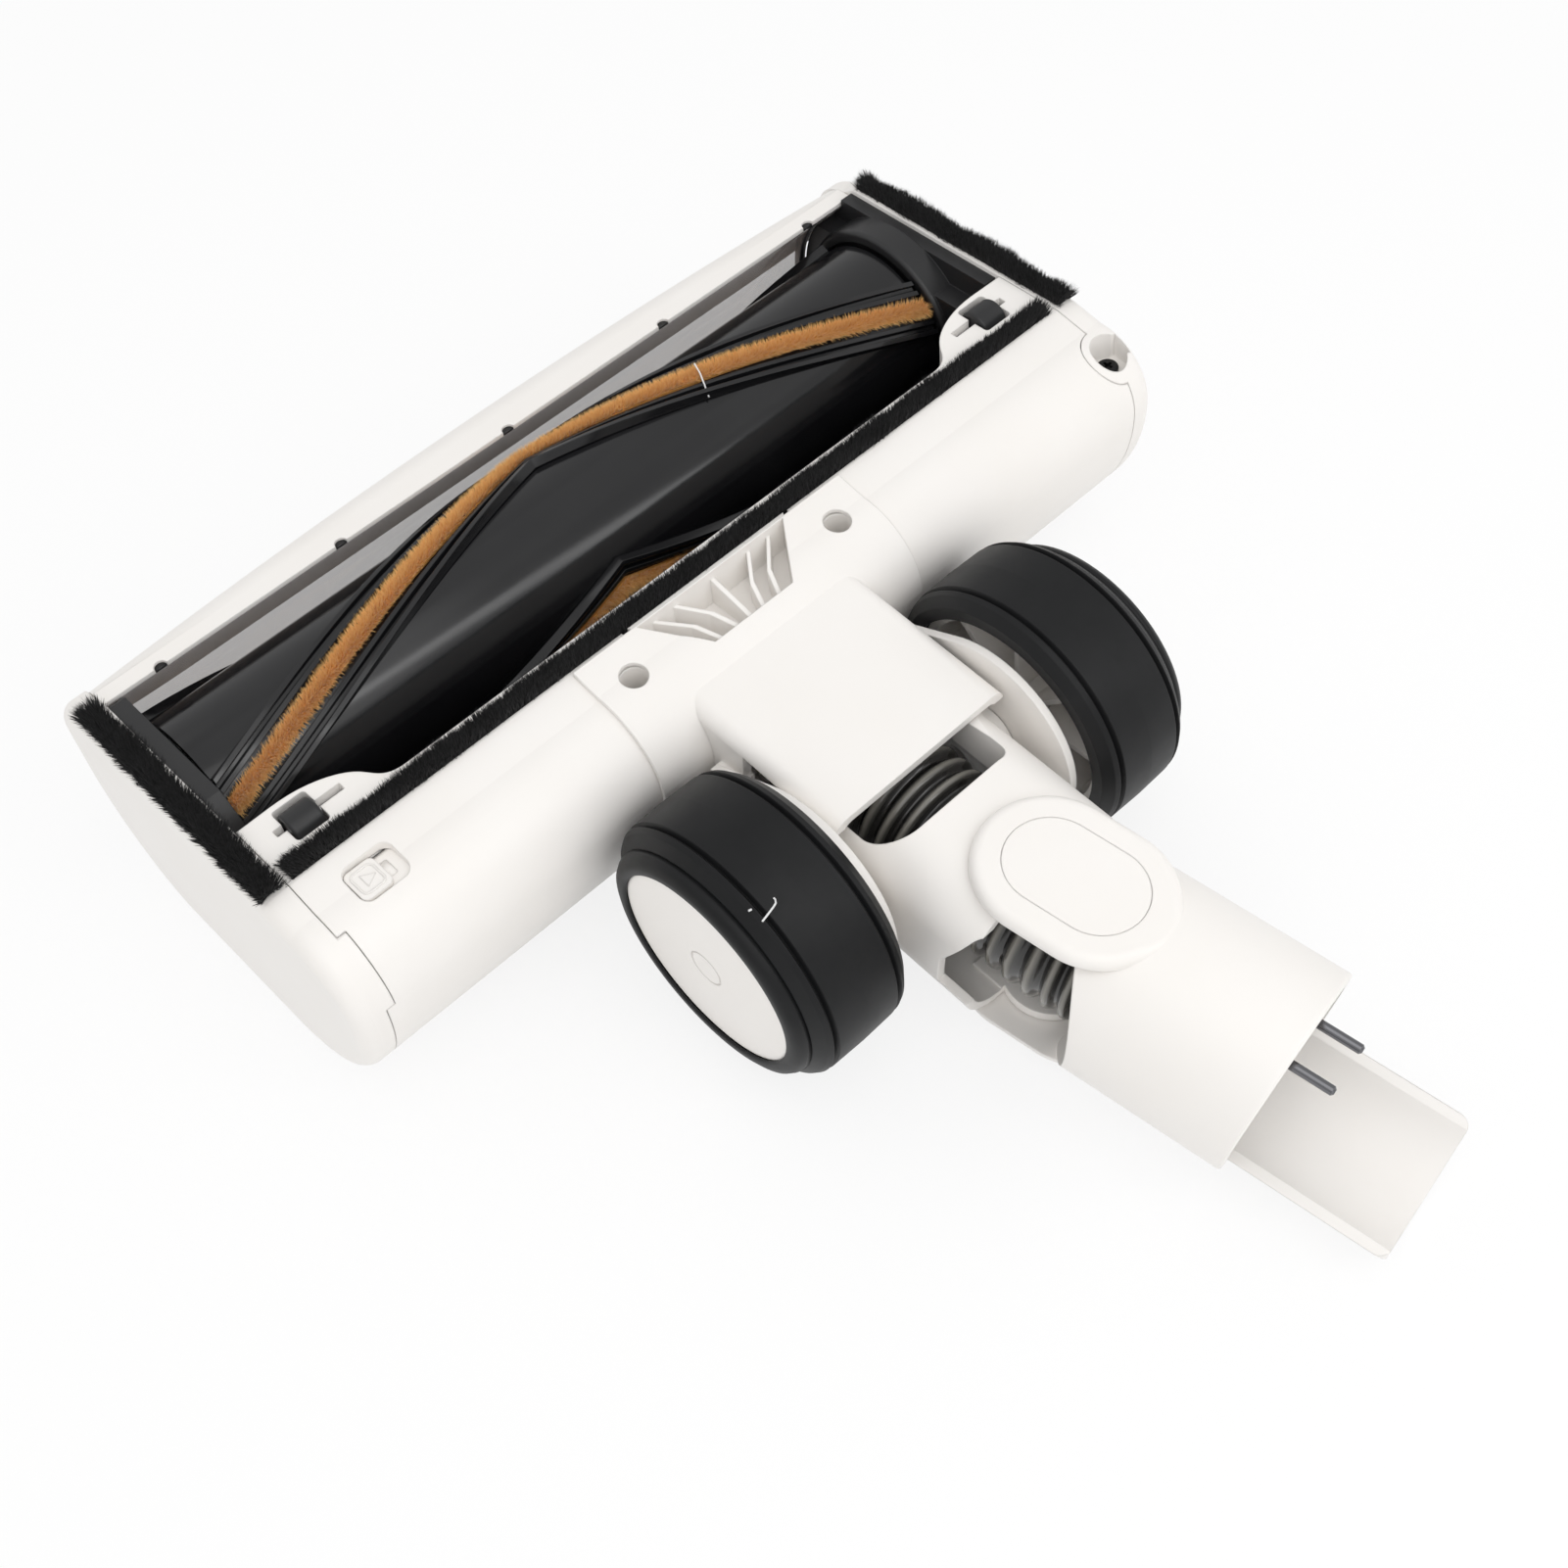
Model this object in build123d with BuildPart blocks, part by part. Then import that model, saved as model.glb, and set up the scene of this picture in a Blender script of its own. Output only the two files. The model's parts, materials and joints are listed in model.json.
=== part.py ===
from build123d import *
import os
from math import cos, radians, sin, sqrt, tan

# Floor brush head of a stick vacuum cleaner, lying on its back.
# +X runs along the roller, +Y to the front bumper, +Z out of the sole. Millimetres.
# Y = 0 lies under the roller's axis and Z = 0 on the table.

# Head housing, seen from its end
SOLE_Z = 63.3  # sole above the table
SOLE_FRONT_Y = 19.5  # front end of the flat sole on the end caps
SOLE_REAR_Y = -51.0  # rear end of the flat sole
REST_FRONT_Y = 4.0  # flat back that it lies on
REST_REAR_Y = -36.0
FRONT_Y = 33.0  # foremost line of the end caps
FRONT_Z = 38.0
NOSE_Z = 60.5  # top of the front rounding
NOSE_R = 9.0
REAR_Y = -76.6  # rearmost line
REAR_Z = 44.4
REAR_ROUND = 17.0
WALL = 2.4
SEAM_Z = 20.0  # joint line of lower housing and top cover
CAP_LEFT_X = -115.2  # joint faces of the two end caps
CAP_RIGHT_X = 115.5
CAP_DEPTH = 7.3
CAP_ROUND = 4.0
GAP = 0.2  # between moulded parts that meet
RUN = 0.05  # radial clearance of a shaft in its hole

# Roller
ROLLER_Z = 38.5
ROLLER_LEFT_X = -109.6
ROLLER_RIGHT_X = 103.4
CORE_R = 22.0
CORE_WALL = 2.5
PLUSH_HEIGHT = 4.2
PLUSH_WIDTH = 6.8
RAIL_HEIGHT = 1.6
RAIL = 1.3  # width of each of the two ridges of a rail
STRIP_COUNT = 3
STRIP_APEX = 53.0  # degrees from +Y towards +Z
STRIP_TWIST = 87.0  # degrees from the apex to each end
STRIP_STATIONS = 6
HUB_DEPTH = 6.5
SHAFT_R = 3.0

# Tunnel round the roller, front window and bumper
TUNNEL_R = 30.5
LINER_WALL = 2.0
LINER_LEFT_X = -110.4
LINER_RIGHT_X = 104.0
LINER_TOP = 168.0  # degrees from +Y, where the round liner ends at the rear
LINER_BOTTOM = 287.0
MOUTH_REAR_Y = -43.5  # rear edge of the sole opening
MOUTH_LIP_Z = 49.0  # lower edge of the sole beam's lip
DUCT_R = 10.8  # bore of the suction duct
DUCT_WALL = 1.8
WINDOW_R = 30.0
WINDOW_WALL = 2.0
WINDOW_TOP = 42.0  # degrees above +Y
WINDOW_BOTTOM = -58.0
BUMPER_Y = 35.7  # foremost point, at mid-length
BUMPER_BOW = 4.4  # how far its ends lie back
BUMPER_LOW_Z = 44.0
BUMPER_TOP_Z = 61.2
BUMPER_LIP_Y = 20.6
BUMPER_LIP = 1.2
SLOT_COUNT = 5
SLOT_PITCH = 50.0

# Pile strips and sole rollers
PILE_WIDTH = 4.8
PILE_BASE = 3.6  # depth of the base in its channel
PILE_HEIGHT = 3.0  # pile above the sole
REAR_PILE_Y = -50.1  # rear edge
REAR_PILE_HALF = 113.4
END_PILE_FRONT_Y = 19.2
END_PILE_REAR_Y = -49.6
END_LIP = 1.3  # white lip between the end strips and the roller
TOOTH_PITCH = 27.0
TOOTH_LENGTH = 21.5
TOOTH_STEP = 0.7
TOOTH_COUNT = 8
CORNER_X = 79.5  # inner end of the sole corners
CORNER_Y = -31.8  # front edge of the sole corners
CORNER_DEPTH = 9.0
SOLE_ROLLER_X = 103.0
SOLE_ROLLER_Y = -38.2
SOLE_ROLLER_Z = 60.6
SOLE_ROLLER_R = 4.4
SOLE_ROLLER_LENGTH = 7.6
SOLE_PIN_R = 1.0
SOLE_PIN_IN_X = 92.6
SOLE_PIN_OUT_X = 109.4

# Latch
LATCH_X = -100.2
LATCH_Y = -59.8
LATCH_RECESS_X = 12.4
LATCH_RECESS_Y = 9.6
LATCH_RECESS_DEPTH = 1.5
LATCH_LENGTH = 7.6
LATCH_TRAVEL = 4.0
LATCH_TONGUE = 6.0
LATCH_MARK = 2.0  # raised triangle on its button
SPRING_R = 1.5
SPRING_WIRE = 0.3
SPRING_TURNS = 5

# Screw recess of the right end cap
SCOOP_X = 115.8
SCOOP_Y = -67.0
SCOOP_R = 4.6
SCOOP_Z = 53.2
CUP_WALL = 2.0

# Drive
BLOCK_R = 29.5  # bearing block of the free end and disc of the drive bracket
BLOCK_TOP_Z = 61.5
BRACKET_TOP_Z = 62.2
BRACKET_FACE_X = 106.0
BRACKET_REAR_Y = -30.4
BAND_FACE_X = 111.7  # inner face of its top band
SHELF_Z = 56.0  # floor of the recesses beside its collar
COLLAR_R = 25.4  # guard round the roller's end
COLLAR_BORE_R = 22.6
COLLAR_EDGE = 1.2
SHELF_HOLE_X = 109.4
SHELF_HOLE_Y = 14.6
SHELF_HOLE_R = 1.1
PULLEY_X = 108.8
PULLEY_WIDTH = 4.0
ROLLER_PULLEY_R = 11.0
MOTOR_PULLEY_R = 5.5
MOTOR_Y = -51.0
MOTOR_Z = 31.0
MOTOR_R = 14.0
MOTOR_LENGTH = 56.0
MOTOR_SHAFT_R = 1.6
MOTOR_WALL_X = 100.0
BELT = 1.3
BELT_GAP = 0.3

# Wheels and neck
WHEEL_R = 33.0
AXLE_Y = -110.5
AXLE_Z = WHEEL_R  # the wheels stand on the table too
AXLE_R = 3.0
AXLE_IN_X = 20.6
TYRE_IN_X = 31.0
TYRE_OUT_X = 57.0
GROOVE_IN_X = 34.9
GROOVE_OUT_X = 53.1
TYRE = 6.0  # thickness
TYRE_COVER = 3.0  # how far it stands over the hub's inner rim
CAP_INSET = 1.3
HUB_CAP_X = 59.5
HUB_RIBS = 8
CAP_RING_R = 4.6  # fine groove in the hub cap
BAND_HALF = 40.0  # half width of the band that wraps the housing
BAND = 1.2
PLATE_FRONT_Z = 59.0
PLATE_REAR_Z = 54.2
PLATE_FRONT_Y = -65.8
PLATE_REAR_Y = -116.4
PLATE = 2.4
SIDE_X = 25.6  # outer face of the neck base's side walls
CHEEK_IN_X = 27.0  # inner face of the discs that carry the wheels
CHEEK = 2.0
CHEEK_R = 24.4
CHEEK_ROOT = 25.0  # height of the cheek where it leaves the box
SIDE_HEIGHT = 46.0
SIDE_ROUND = 4.0
SKIRT = 3.6  # edge of the plate over the neck's discs
BOSS_X = 30.7
BOSS_Y = -60.6
BOSS_R = 3.3
BOSS_TUBE = 1.1
BOSS_FLOOR = 1.5
SCREW_R = 1.4
SCREW_HEAD_R = 2.7
SCREW_HEAD = 1.9
SCREW_SEAT_Z = 40.0
RECESS_FRONT_HALF = 22.0
RECESS_REAR_HALF = 11.7
TRAY_WALL = 1.5
RIB = 1.2

# Neck, built level and then dipped about the wheel axles until the tongue meets the table
NECK_TILT = 5.0
KNUCKLE_R = 17.0  # front rounding about the axles
KNUCKLE_BOSS_R = 8.0
NECK_HALF_X = 23.0
NECK_HALF_Z = 20.5
NECK_ROUND = 13.0
NECK_WALL = 2.2
NECK_FRONT_Y = -126.0  # rear edge of the window over the hose
WINDOW_LEFT_X = -20.5
WINDOW_RIGHT_X = 15.2  # the cable way lies beside it
WINDOW_LEFT_ROUND = 9.0
WINDOW_RIGHT_ROUND = 2.5
SIDE_FRONT_Y = -143.0  # openings in the neck's sides
SIDE_TOP = 17.0
SIDE_BEND = -1.0
SIDE_LOW = -9.8
SIDE_CORNER = 5.5
PIVOT_Y = -156.0
PIVOT_FRONT = 4.5  # the neck's sides end this far before the pivot
PIVOT_PIN_R = 3.0
EAR = 2.8
EAR_HALF = 11.0
EAR_Z = 17.7  # inner face of each ear from the neck's axis
FORK = 3.2
FORK_GAP = 0.35
HOSE_R = 15.5
HOSE_GROOVE = 1.6
HOSE_WALL = 1.2
HOSE_PITCH = 5.4
HOSE_FRONT_RINGS = 6
HOSE_REAR_RINGS = 12
HOSE_BEND = 45.0  # radius of its bend at the axles
HOSE_WAY = 1.5  # room round it in the housing

# Wand socket, swung a little to one side as it lies
WAND_SWING = 8.6
SLEEVE_START = 10.5  # distances behind the pivot
SLEEVE_END = 54.8
SLEEVE_SLANT = 4.5  # its end face leans out at the top
SLEEVE_R = 23.9
SLEEVE_BORE_R = 20.8
SLEEVE_EDGE = 0.8
SLEEVE_BITE_R = 34.0  # hollow front edge of the sleeve
SLEEVE_BITE = 6.5
TONGUE_END = 89.7
TONGUE_ROOT = 14.0  # length inside the sleeve
TONGUE_WALL = 1.9
TONGUE_DROP = 10.0  # edges of the trough below the axis
TONGUE_CORNER = 3.0
OVAL_LENGTH = 45.0
OVAL_WIDTH = 33.5
OVAL_EDGE = 2.4
OVAL_BACK = 1.4  # centre of the oval behind the pivot
COVER_LENGTH = 32.0
COVER_WIDTH = 21.0
COVER_DEPTH = 1.4
PRONG_X = 5.55
PRONG_Z = 14.5
PRONG_R = 1.1
PRONG_ROOT_R = 0.9
PRONG_TIP = 65.7
PRONG_FREE = 17.0  # length that stands out of the block
BLOCK_LENGTH = 9.0

FAR = 400.0  # larger than the whole head, for trimming cuts


def outline_edges(inset):
    """End view of the head, shrunk all round by inset."""
    with BuildLine() as outline:
        Line((REST_REAR_Y, inset), (REST_FRONT_Y, inset))
        front = EllipticalCenterArc((REST_FRONT_Y, FRONT_Z), FRONT_Y - REST_FRONT_Y - inset,
                                    FRONT_Z - inset, 270, arc_size=90)
        Line(front @ 1, (FRONT_Y - inset, NOSE_Z - NOSE_R))
        nose = CenterArc((FRONT_Y - NOSE_R, NOSE_Z - NOSE_R), NOSE_R - inset, 0, 90)
        Polyline(nose @ 1, (SOLE_FRONT_Y, SOLE_Z - inset), (SOLE_REAR_Y, SOLE_Z - inset),
                 (REAR_Y + REAR_ROUND, REAR_Z + REAR_ROUND - inset))
        CenterArc((REAR_Y + REAR_ROUND, REAR_Z), REAR_ROUND - inset, 90, 90)
        EllipticalCenterArc((REST_REAR_Y, REAR_Z), REST_REAR_Y - REAR_Y - inset,
                            REAR_Z - inset, 180, arc_size=90)
    return outline.edges()


def head_section(x, outer, inner=None, keep=None):
    """Cut through the head at x, hollowed to inner and trimmed to the keep corners."""
    with BuildSketch(Plane.YZ.offset(x)) as section:
        make_face(outline_edges(outer))
        if inner is not None:
            make_face(outline_edges(inner), mode=Mode.SUBTRACT)
        if keep is not None:
            (low_y, low_z), (high_y, high_z) = keep
            with Locations(((low_y + high_y) / 2, (low_z + high_z) / 2)):
                Rectangle(high_y - low_y, high_z - low_z, mode=Mode.INTERSECT)
    return section.sketch


def disc_x(x, y, z, radius):
    """Round face at x, looking along X."""
    with BuildSketch(Plane.YZ.offset(x)) as face:
        with Locations((y, z)):
            Circle(radius)
    return face.sketch


def ring_sector(x, inner, outer, start, end):
    """Part of a ring round the roller's axis, from start to end degrees."""
    with BuildSketch(Plane.YZ.offset(x)) as face:
        with BuildLine():
            wide = CenterArc((0, ROLLER_Z), outer, start, end - start)
            tight = CenterArc((0, ROLLER_Z), inner, start, end - start)
            Line(wide @ 0, tight @ 0)
            Line(wide @ 1, tight @ 1)
        make_face()
    return face.sketch


def plan_rectangle(z, centre_x, centre_y, length_x, length_y, corner):
    """Rounded rectangle seen from above at height z."""
    with BuildSketch(Plane.XY.offset(z)) as face:
        with Locations((centre_x, centre_y)):
            RectangleRounded(length_x, length_y, corner)
    return face.sketch


def strip_section(x, angle, corners):
    """Cut through a strip on the roller: corners are (radius, offset round the roller)."""
    radial = (0, cos(radians(angle)), sin(radians(angle)))
    plane = Plane(origin=(x, 0, ROLLER_Z), x_dir=radial, z_dir=(1, 0, 0))
    with BuildSketch(plane) as cut:
        with BuildLine():
            Polyline(*corners, close=True)
        make_face()
    return cut.sketch


def v_strip_half(apex, side, corners):
    """Sections from the middle of the roller to one end, turned as they go."""
    middle = (ROLLER_LEFT_X + ROLLER_RIGHT_X) / 2
    half = (ROLLER_RIGHT_X - ROLLER_LEFT_X) / 2
    steps = [i / (STRIP_STATIONS - 1) for i in range(STRIP_STATIONS)]
    return [strip_section(middle + side * half * s, apex + STRIP_TWIST * s, corners) for s in steps]


def strip_apexes():
    return [STRIP_APEX + i * 360 / STRIP_COUNT for i in range(STRIP_COUNT)]


def wand_plane(distance):
    """Plane across the wand socket, a distance behind its pivot, facing out of the socket."""
    along = Vector(sin(radians(WAND_SWING)), -cos(radians(WAND_SWING)), 0)
    across = (cos(radians(WAND_SWING)), sin(radians(WAND_SWING)), 0)
    return Plane(Vector(0, PIVOT_Y, AXLE_Z) + along * distance, x_dir=across, z_dir=along)


def wand_level(height):
    """Plane through the pivot at a height from the neck's axis, with its -Y along the wand."""
    across = (cos(radians(WAND_SWING)), sin(radians(WAND_SWING)), 0)
    return Plane((0, PIVOT_Y, AXLE_Z + height), x_dir=across, z_dir=(0, 0, 1))


def oval(height, length, width):
    """Long oval over the pivot, in line with the wand."""
    with BuildSketch(wand_level(height)) as face:
        with Locations((0, -OVAL_BACK)):
            SlotOverall(length, width, rotation=90)
    return face.sketch


def belt_hull(grow):
    """Outline of the belt run round both pulleys, at the pulleys' inner face."""
    with BuildSketch(Plane.YZ.offset(PULLEY_X)) as face:
        with BuildSketch(mode=Mode.PRIVATE) as pulleys:
            with Locations((0, ROLLER_Z)):
                Circle(ROLLER_PULLEY_R + grow)
            with Locations((MOTOR_Y, MOTOR_Z)):
                Circle(MOTOR_PULLEY_R + grow)
        make_hull(pulleys.sketch.edges())
    return face.sketch


def wheel_axis():
    return Axis((0, AXLE_Y, AXLE_Z), (1, 0, 0))


def save(builder, name, dip=0):
    """Label a finished piece and write it, dipped about the wheel axles if it belongs to the neck."""
    piece = builder.part.rotate(wheel_axis(), dip) if dip else builder.part
    piece.label = name
    export_step(piece, f"parts/{name}.step")


os.makedirs("parts", exist_ok=True)

shell_left = CAP_LEFT_X + GAP
shell_right = CAP_RIGHT_X - GAP
shell_length = shell_right - shell_left
fork_z = EAR_Z + EAR + FORK_GAP  # inner face of each oval plate from the neck's axis
tip_r = CORE_R + PLUSH_HEIGHT
seat_r = WHEEL_R - TYRE
hub_cap_r = seat_r - CAP_INSET
cheek_out = CHEEK_IN_X + CHEEK
block_start = PRONG_TIP - PRONG_FREE - BLOCK_LENGTH
bend_start = HOSE_BEND * tan(radians(NECK_TILT / 2))  # straight hose ends this far from the axles
hose_front_y = AXLE_Y + bend_start + HOSE_FRONT_RINGS * HOSE_PITCH

# Lower housing: rear wall, sole beam, sole corners with roller pockets, latch recess
tab_top_z = REAR_Z + REAR_ROUND - 1.5
tab_low_z = REAR_Z
tab_depth = 2.2
with BuildPart() as lower_housing:
    keep_rear = ((-FAR, SEAM_Z), (MOUTH_REAR_Y, FAR))
    extrude(head_section(shell_left, 0, WALL, keep_rear), amount=shell_length)
    beam_low = SOLE_Z - PILE_BASE - WALL
    with BuildSketch(Plane.YZ.offset(shell_left)):
        with BuildLine():
            Polyline((SOLE_REAR_Y, SOLE_Z), (MOUTH_REAR_Y, SOLE_Z), (MOUTH_REAR_Y, MOUTH_LIP_Z),
                     (MOUTH_REAR_Y - WALL, MOUTH_LIP_Z), (MOUTH_REAR_Y - WALL, beam_low),
                     (SOLE_REAR_Y, beam_low), close=True)
        make_face()
    extrude(amount=shell_length)
    for side in (-1, 1):
        end_x = shell_left if side < 0 else shell_right
        with BuildSketch(Plane.XY.offset(SOLE_Z - CORNER_DEPTH)):
            with BuildLine():
                edge = Line((end_x, MOUTH_REAR_Y), (end_x, CORNER_Y))
                curve = Spline(edge @ 1, (side * (CORNER_X + 19), CORNER_Y - 0.6),
                               (side * (CORNER_X + 8), CORNER_Y - 6.4), (side * CORNER_X, MOUTH_REAR_Y),
                               tangents=((-side, 0, 0), (-side, 0, 0)))
                Line(curve @ 1, edge @ 0)
            make_face()
        extrude(amount=CORNER_DEPTH)
        pocket_z = SOLE_ROLLER_Z - SOLE_ROLLER_R - 0.6
        pocket = plan_rectangle(pocket_z, side * SOLE_ROLLER_X, SOLE_ROLLER_Y,
                                SOLE_ROLLER_LENGTH + 0.9, 2 * SOLE_ROLLER_R + 1.4, 1.0)
        extrude(pocket, amount=FAR, mode=Mode.SUBTRACT)
        pin_x = side * (SOLE_PIN_IN_X + SOLE_PIN_OUT_X) / 2
        slot = plan_rectangle(SOLE_ROLLER_Z - SOLE_PIN_R, pin_x, SOLE_ROLLER_Y,
                              SOLE_PIN_OUT_X - SOLE_PIN_IN_X + 2 * GAP, 2 * SOLE_PIN_R + 0.1, 0.3)
        extrude(slot, amount=FAR, mode=Mode.SUBTRACT)
    # Walls that close the motor chamber at both ends
    liner_top_z = ROLLER_Z + TUNNEL_R * sin(radians(LINER_TOP))
    chamber = ((-FAR, SEAM_Z), (-TUNNEL_R - LINER_WALL - 1, liner_top_z - LINER_WALL - GAP))
    extrude(head_section(LINER_LEFT_X, WALL / 2, keep=chamber), amount=-WALL)
    extrude(head_section(MOTOR_WALL_X, WALL / 2, keep=chamber), amount=WALL)
    extrude(disc_x(MOTOR_WALL_X, MOTOR_Y, MOTOR_Z, MOTOR_SHAFT_R + 1), amount=WALL, mode=Mode.SUBTRACT)
    # Channel for the rear pile strip
    with Locations((0, REAR_PILE_Y + PILE_WIDTH / 2, SOLE_Z)):
        Box(2 * (REAR_PILE_HALF + GAP), PILE_WIDTH + GAP, 2 * PILE_BASE, mode=Mode.SUBTRACT)
    # Screw posts under the neck base
    for side in (-1, 1):
        post_r = BOSS_R + BOSS_TUBE + GAP / 2
        with BuildSketch(Plane.XY.offset(SCREW_SEAT_Z - 12)):
            with Locations((side * BOSS_X, BOSS_Y)):
                Circle(post_r + 1.5)
        extrude(amount=SOLE_Z - WALL - 2 - SCREW_SEAT_Z + 12)
        with BuildSketch(Plane.XY.offset(SCREW_SEAT_Z - BOSS_FLOOR)):
            with Locations((side * BOSS_X, BOSS_Y)):
                Circle(post_r)
        extrude(amount=FAR, mode=Mode.SUBTRACT)
        with BuildSketch(Plane.XY.offset(SCREW_SEAT_Z - 11)):
            with Locations((side * BOSS_X, BOSS_Y)):
                Circle(SCREW_R)
        extrude(amount=11, mode=Mode.SUBTRACT)
    # Opening for the ribbed recess of the neck base
    with BuildSketch(Plane.XY.offset(AXLE_Z + HOSE_R)):
        with Locations((0, SOLE_REAR_Y + 1)):
            Rectangle(2 * RECESS_FRONT_HALF + 6, 2 * FAR, align=(Align.CENTER, Align.MAX))
    extrude(amount=FAR, mode=Mode.SUBTRACT)
    # Way for the suction duct and the hose
    with BuildSketch(Plane.XZ.offset(-REAR_Y - 12)):
        with Locations((0, AXLE_Z)):
            Circle(HOSE_R + HOSE_WAY)
    extrude(amount=24, mode=Mode.SUBTRACT)
    # Notch for the end cap's tab
    keep_tab = ((-FAR, tab_low_z - GAP), (REAR_Y + REAR_ROUND - 3 + GAP, tab_top_z + GAP))
    extrude(head_section(shell_left, -1, WALL + 1, keep_tab), amount=tab_depth, mode=Mode.SUBTRACT)
    # Latch recess and the slot that the latch runs in
    latch_floor = SOLE_Z - 1.9 - LATCH_RECESS_DEPTH
    recess = plan_rectangle(latch_floor, LATCH_X, LATCH_Y, LATCH_RECESS_X, LATCH_RECESS_Y, 2.5)
    extrude(recess, amount=FAR, mode=Mode.SUBTRACT)
    stem_x = LATCH_X - (LATCH_RECESS_X - LATCH_LENGTH) / 2 + 0.3
    slot = plan_rectangle(latch_floor - 4, stem_x + LATCH_TRAVEL / 2, LATCH_Y,
                          3 + LATCH_TRAVEL + 0.6, 4.4, 0.5)
    extrude(slot, amount=8, mode=Mode.SUBTRACT)
    # Stop for the latch spring
    spring_end = stem_x + 3 + LATCH_TRAVEL + 5.2
    with Locations((spring_end, LATCH_Y, latch_floor - 0.5)):
        Box(WALL, 4.4, 5, align=(Align.MIN, Align.CENTER, Align.MAX))
    # Lug for the screw of the right end cap
    with Locations((CAP_RIGHT_X - 4, SCOOP_Y, SCOOP_Z - WALL - GAP)):
        Box(SCOOP_X + 1.8 - CAP_RIGHT_X + 4, 4.4, 8, align=(Align.MIN, Align.CENTER, Align.MAX))
    with Locations((CAP_RIGHT_X - 4, SCOOP_Y, SCOOP_Z - WALL - GAP)):
        Box(3, 16, 8, align=(Align.MIN, Align.MAX, Align.MAX))
    extrude(head_section(CAP_RIGHT_X - FAR / 2, -FAR / 4, 0), amount=FAR, mode=Mode.SUBTRACT)
    extrude(head_section(shell_right, -FAR / 4, PILE_BASE + WALL + GAP), amount=FAR, mode=Mode.SUBTRACT)
    with Locations((SCOOP_X, SCOOP_Y, SCOOP_Z)):
        Cylinder(SCREW_R, 30, mode=Mode.SUBTRACT)
    with Locations((SCOOP_X, SCOOP_Y, SCOOP_Z - WALL - GAP)):
        Cylinder(SCOOP_R + CUP_WALL + GAP, FAR, align=(Align.CENTER, Align.CENTER, Align.MIN),
                 mode=Mode.SUBTRACT)
save(lower_housing, "lower_housing")

# Top cover: the back that the head lies on, with a rim that holds the window
with BuildPart() as top_cover:
    keep_low = ((-FAR, -FAR), (BUMPER_LIP_Y, SEAM_Z - GAP))
    extrude(head_section(shell_left, 0, WALL, keep_low), amount=shell_length)
    keep_rim = ((TUNNEL_R * 0.4, -FAR), (BUMPER_LIP_Y, SEAM_Z - GAP))
    extrude(head_section(LINER_LEFT_X, 0, keep=keep_rim), amount=LINER_RIGHT_X - LINER_LEFT_X)
    extrude(disc_x(shell_left, 0, ROLLER_Z, WINDOW_R + WINDOW_WALL + GAP / 2), amount=shell_length,
            mode=Mode.SUBTRACT)
    with BuildSketch(Plane.XZ.offset(-REAR_Y - 24)):
        with Locations((0, AXLE_Z)):
            Circle(HOSE_R + HOSE_WAY)
    extrude(amount=36, mode=Mode.SUBTRACT)
save(top_cover, "top_cover")

# Tunnel liner behind the roller, with the suction duct to the hose
with BuildPart() as tunnel_liner:
    length = LINER_RIGHT_X - LINER_LEFT_X
    extrude(ring_sector(LINER_LEFT_X, TUNNEL_R, TUNNEL_R + LINER_WALL, LINER_TOP, LINER_BOTTOM),
            amount=length)
    top_y = TUNNEL_R * cos(radians(LINER_TOP))
    top_z = ROLLER_Z + TUNNEL_R * sin(radians(LINER_TOP))
    with BuildSketch(Plane.YZ.offset(LINER_LEFT_X)):
        with BuildLine():
            Polyline((top_y, top_z), (MOUTH_REAR_Y - GAP, MOUTH_LIP_Z - GAP),
                     (MOUTH_REAR_Y - GAP, MOUTH_LIP_Z - GAP - LINER_WALL),
                     (top_y - LINER_WALL, top_z - LINER_WALL), close=True)
        make_face()
    extrude(amount=length)
    with BuildSketch(Plane.XZ.offset(TUNNEL_R - 1)):
        with Locations((0, AXLE_Z)):
            Circle(DUCT_R + DUCT_WALL)
    extrude(amount=-hose_front_y + 8 - TUNNEL_R + 1)
    with BuildSketch(Plane.XZ.offset(TUNNEL_R - 8)):
        with Locations((0, AXLE_Z)):
            Circle(DUCT_R)
    extrude(amount=-hose_front_y + 8 - TUNNEL_R + 8, mode=Mode.SUBTRACT)
    extrude(disc_x(LINER_LEFT_X, 0, ROLLER_Z, TUNNEL_R), amount=length, mode=Mode.SUBTRACT)
save(tunnel_liner, "tunnel_liner")

# Front window: a clear curved wall round the front of the roller
with BuildPart() as front_window:
    extrude(ring_sector(LINER_LEFT_X, WINDOW_R, WINDOW_R + WINDOW_WALL, WINDOW_BOTTOM, WINDOW_TOP),
            amount=LINER_RIGHT_X - LINER_LEFT_X)
save(front_window, "front_window")

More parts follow.
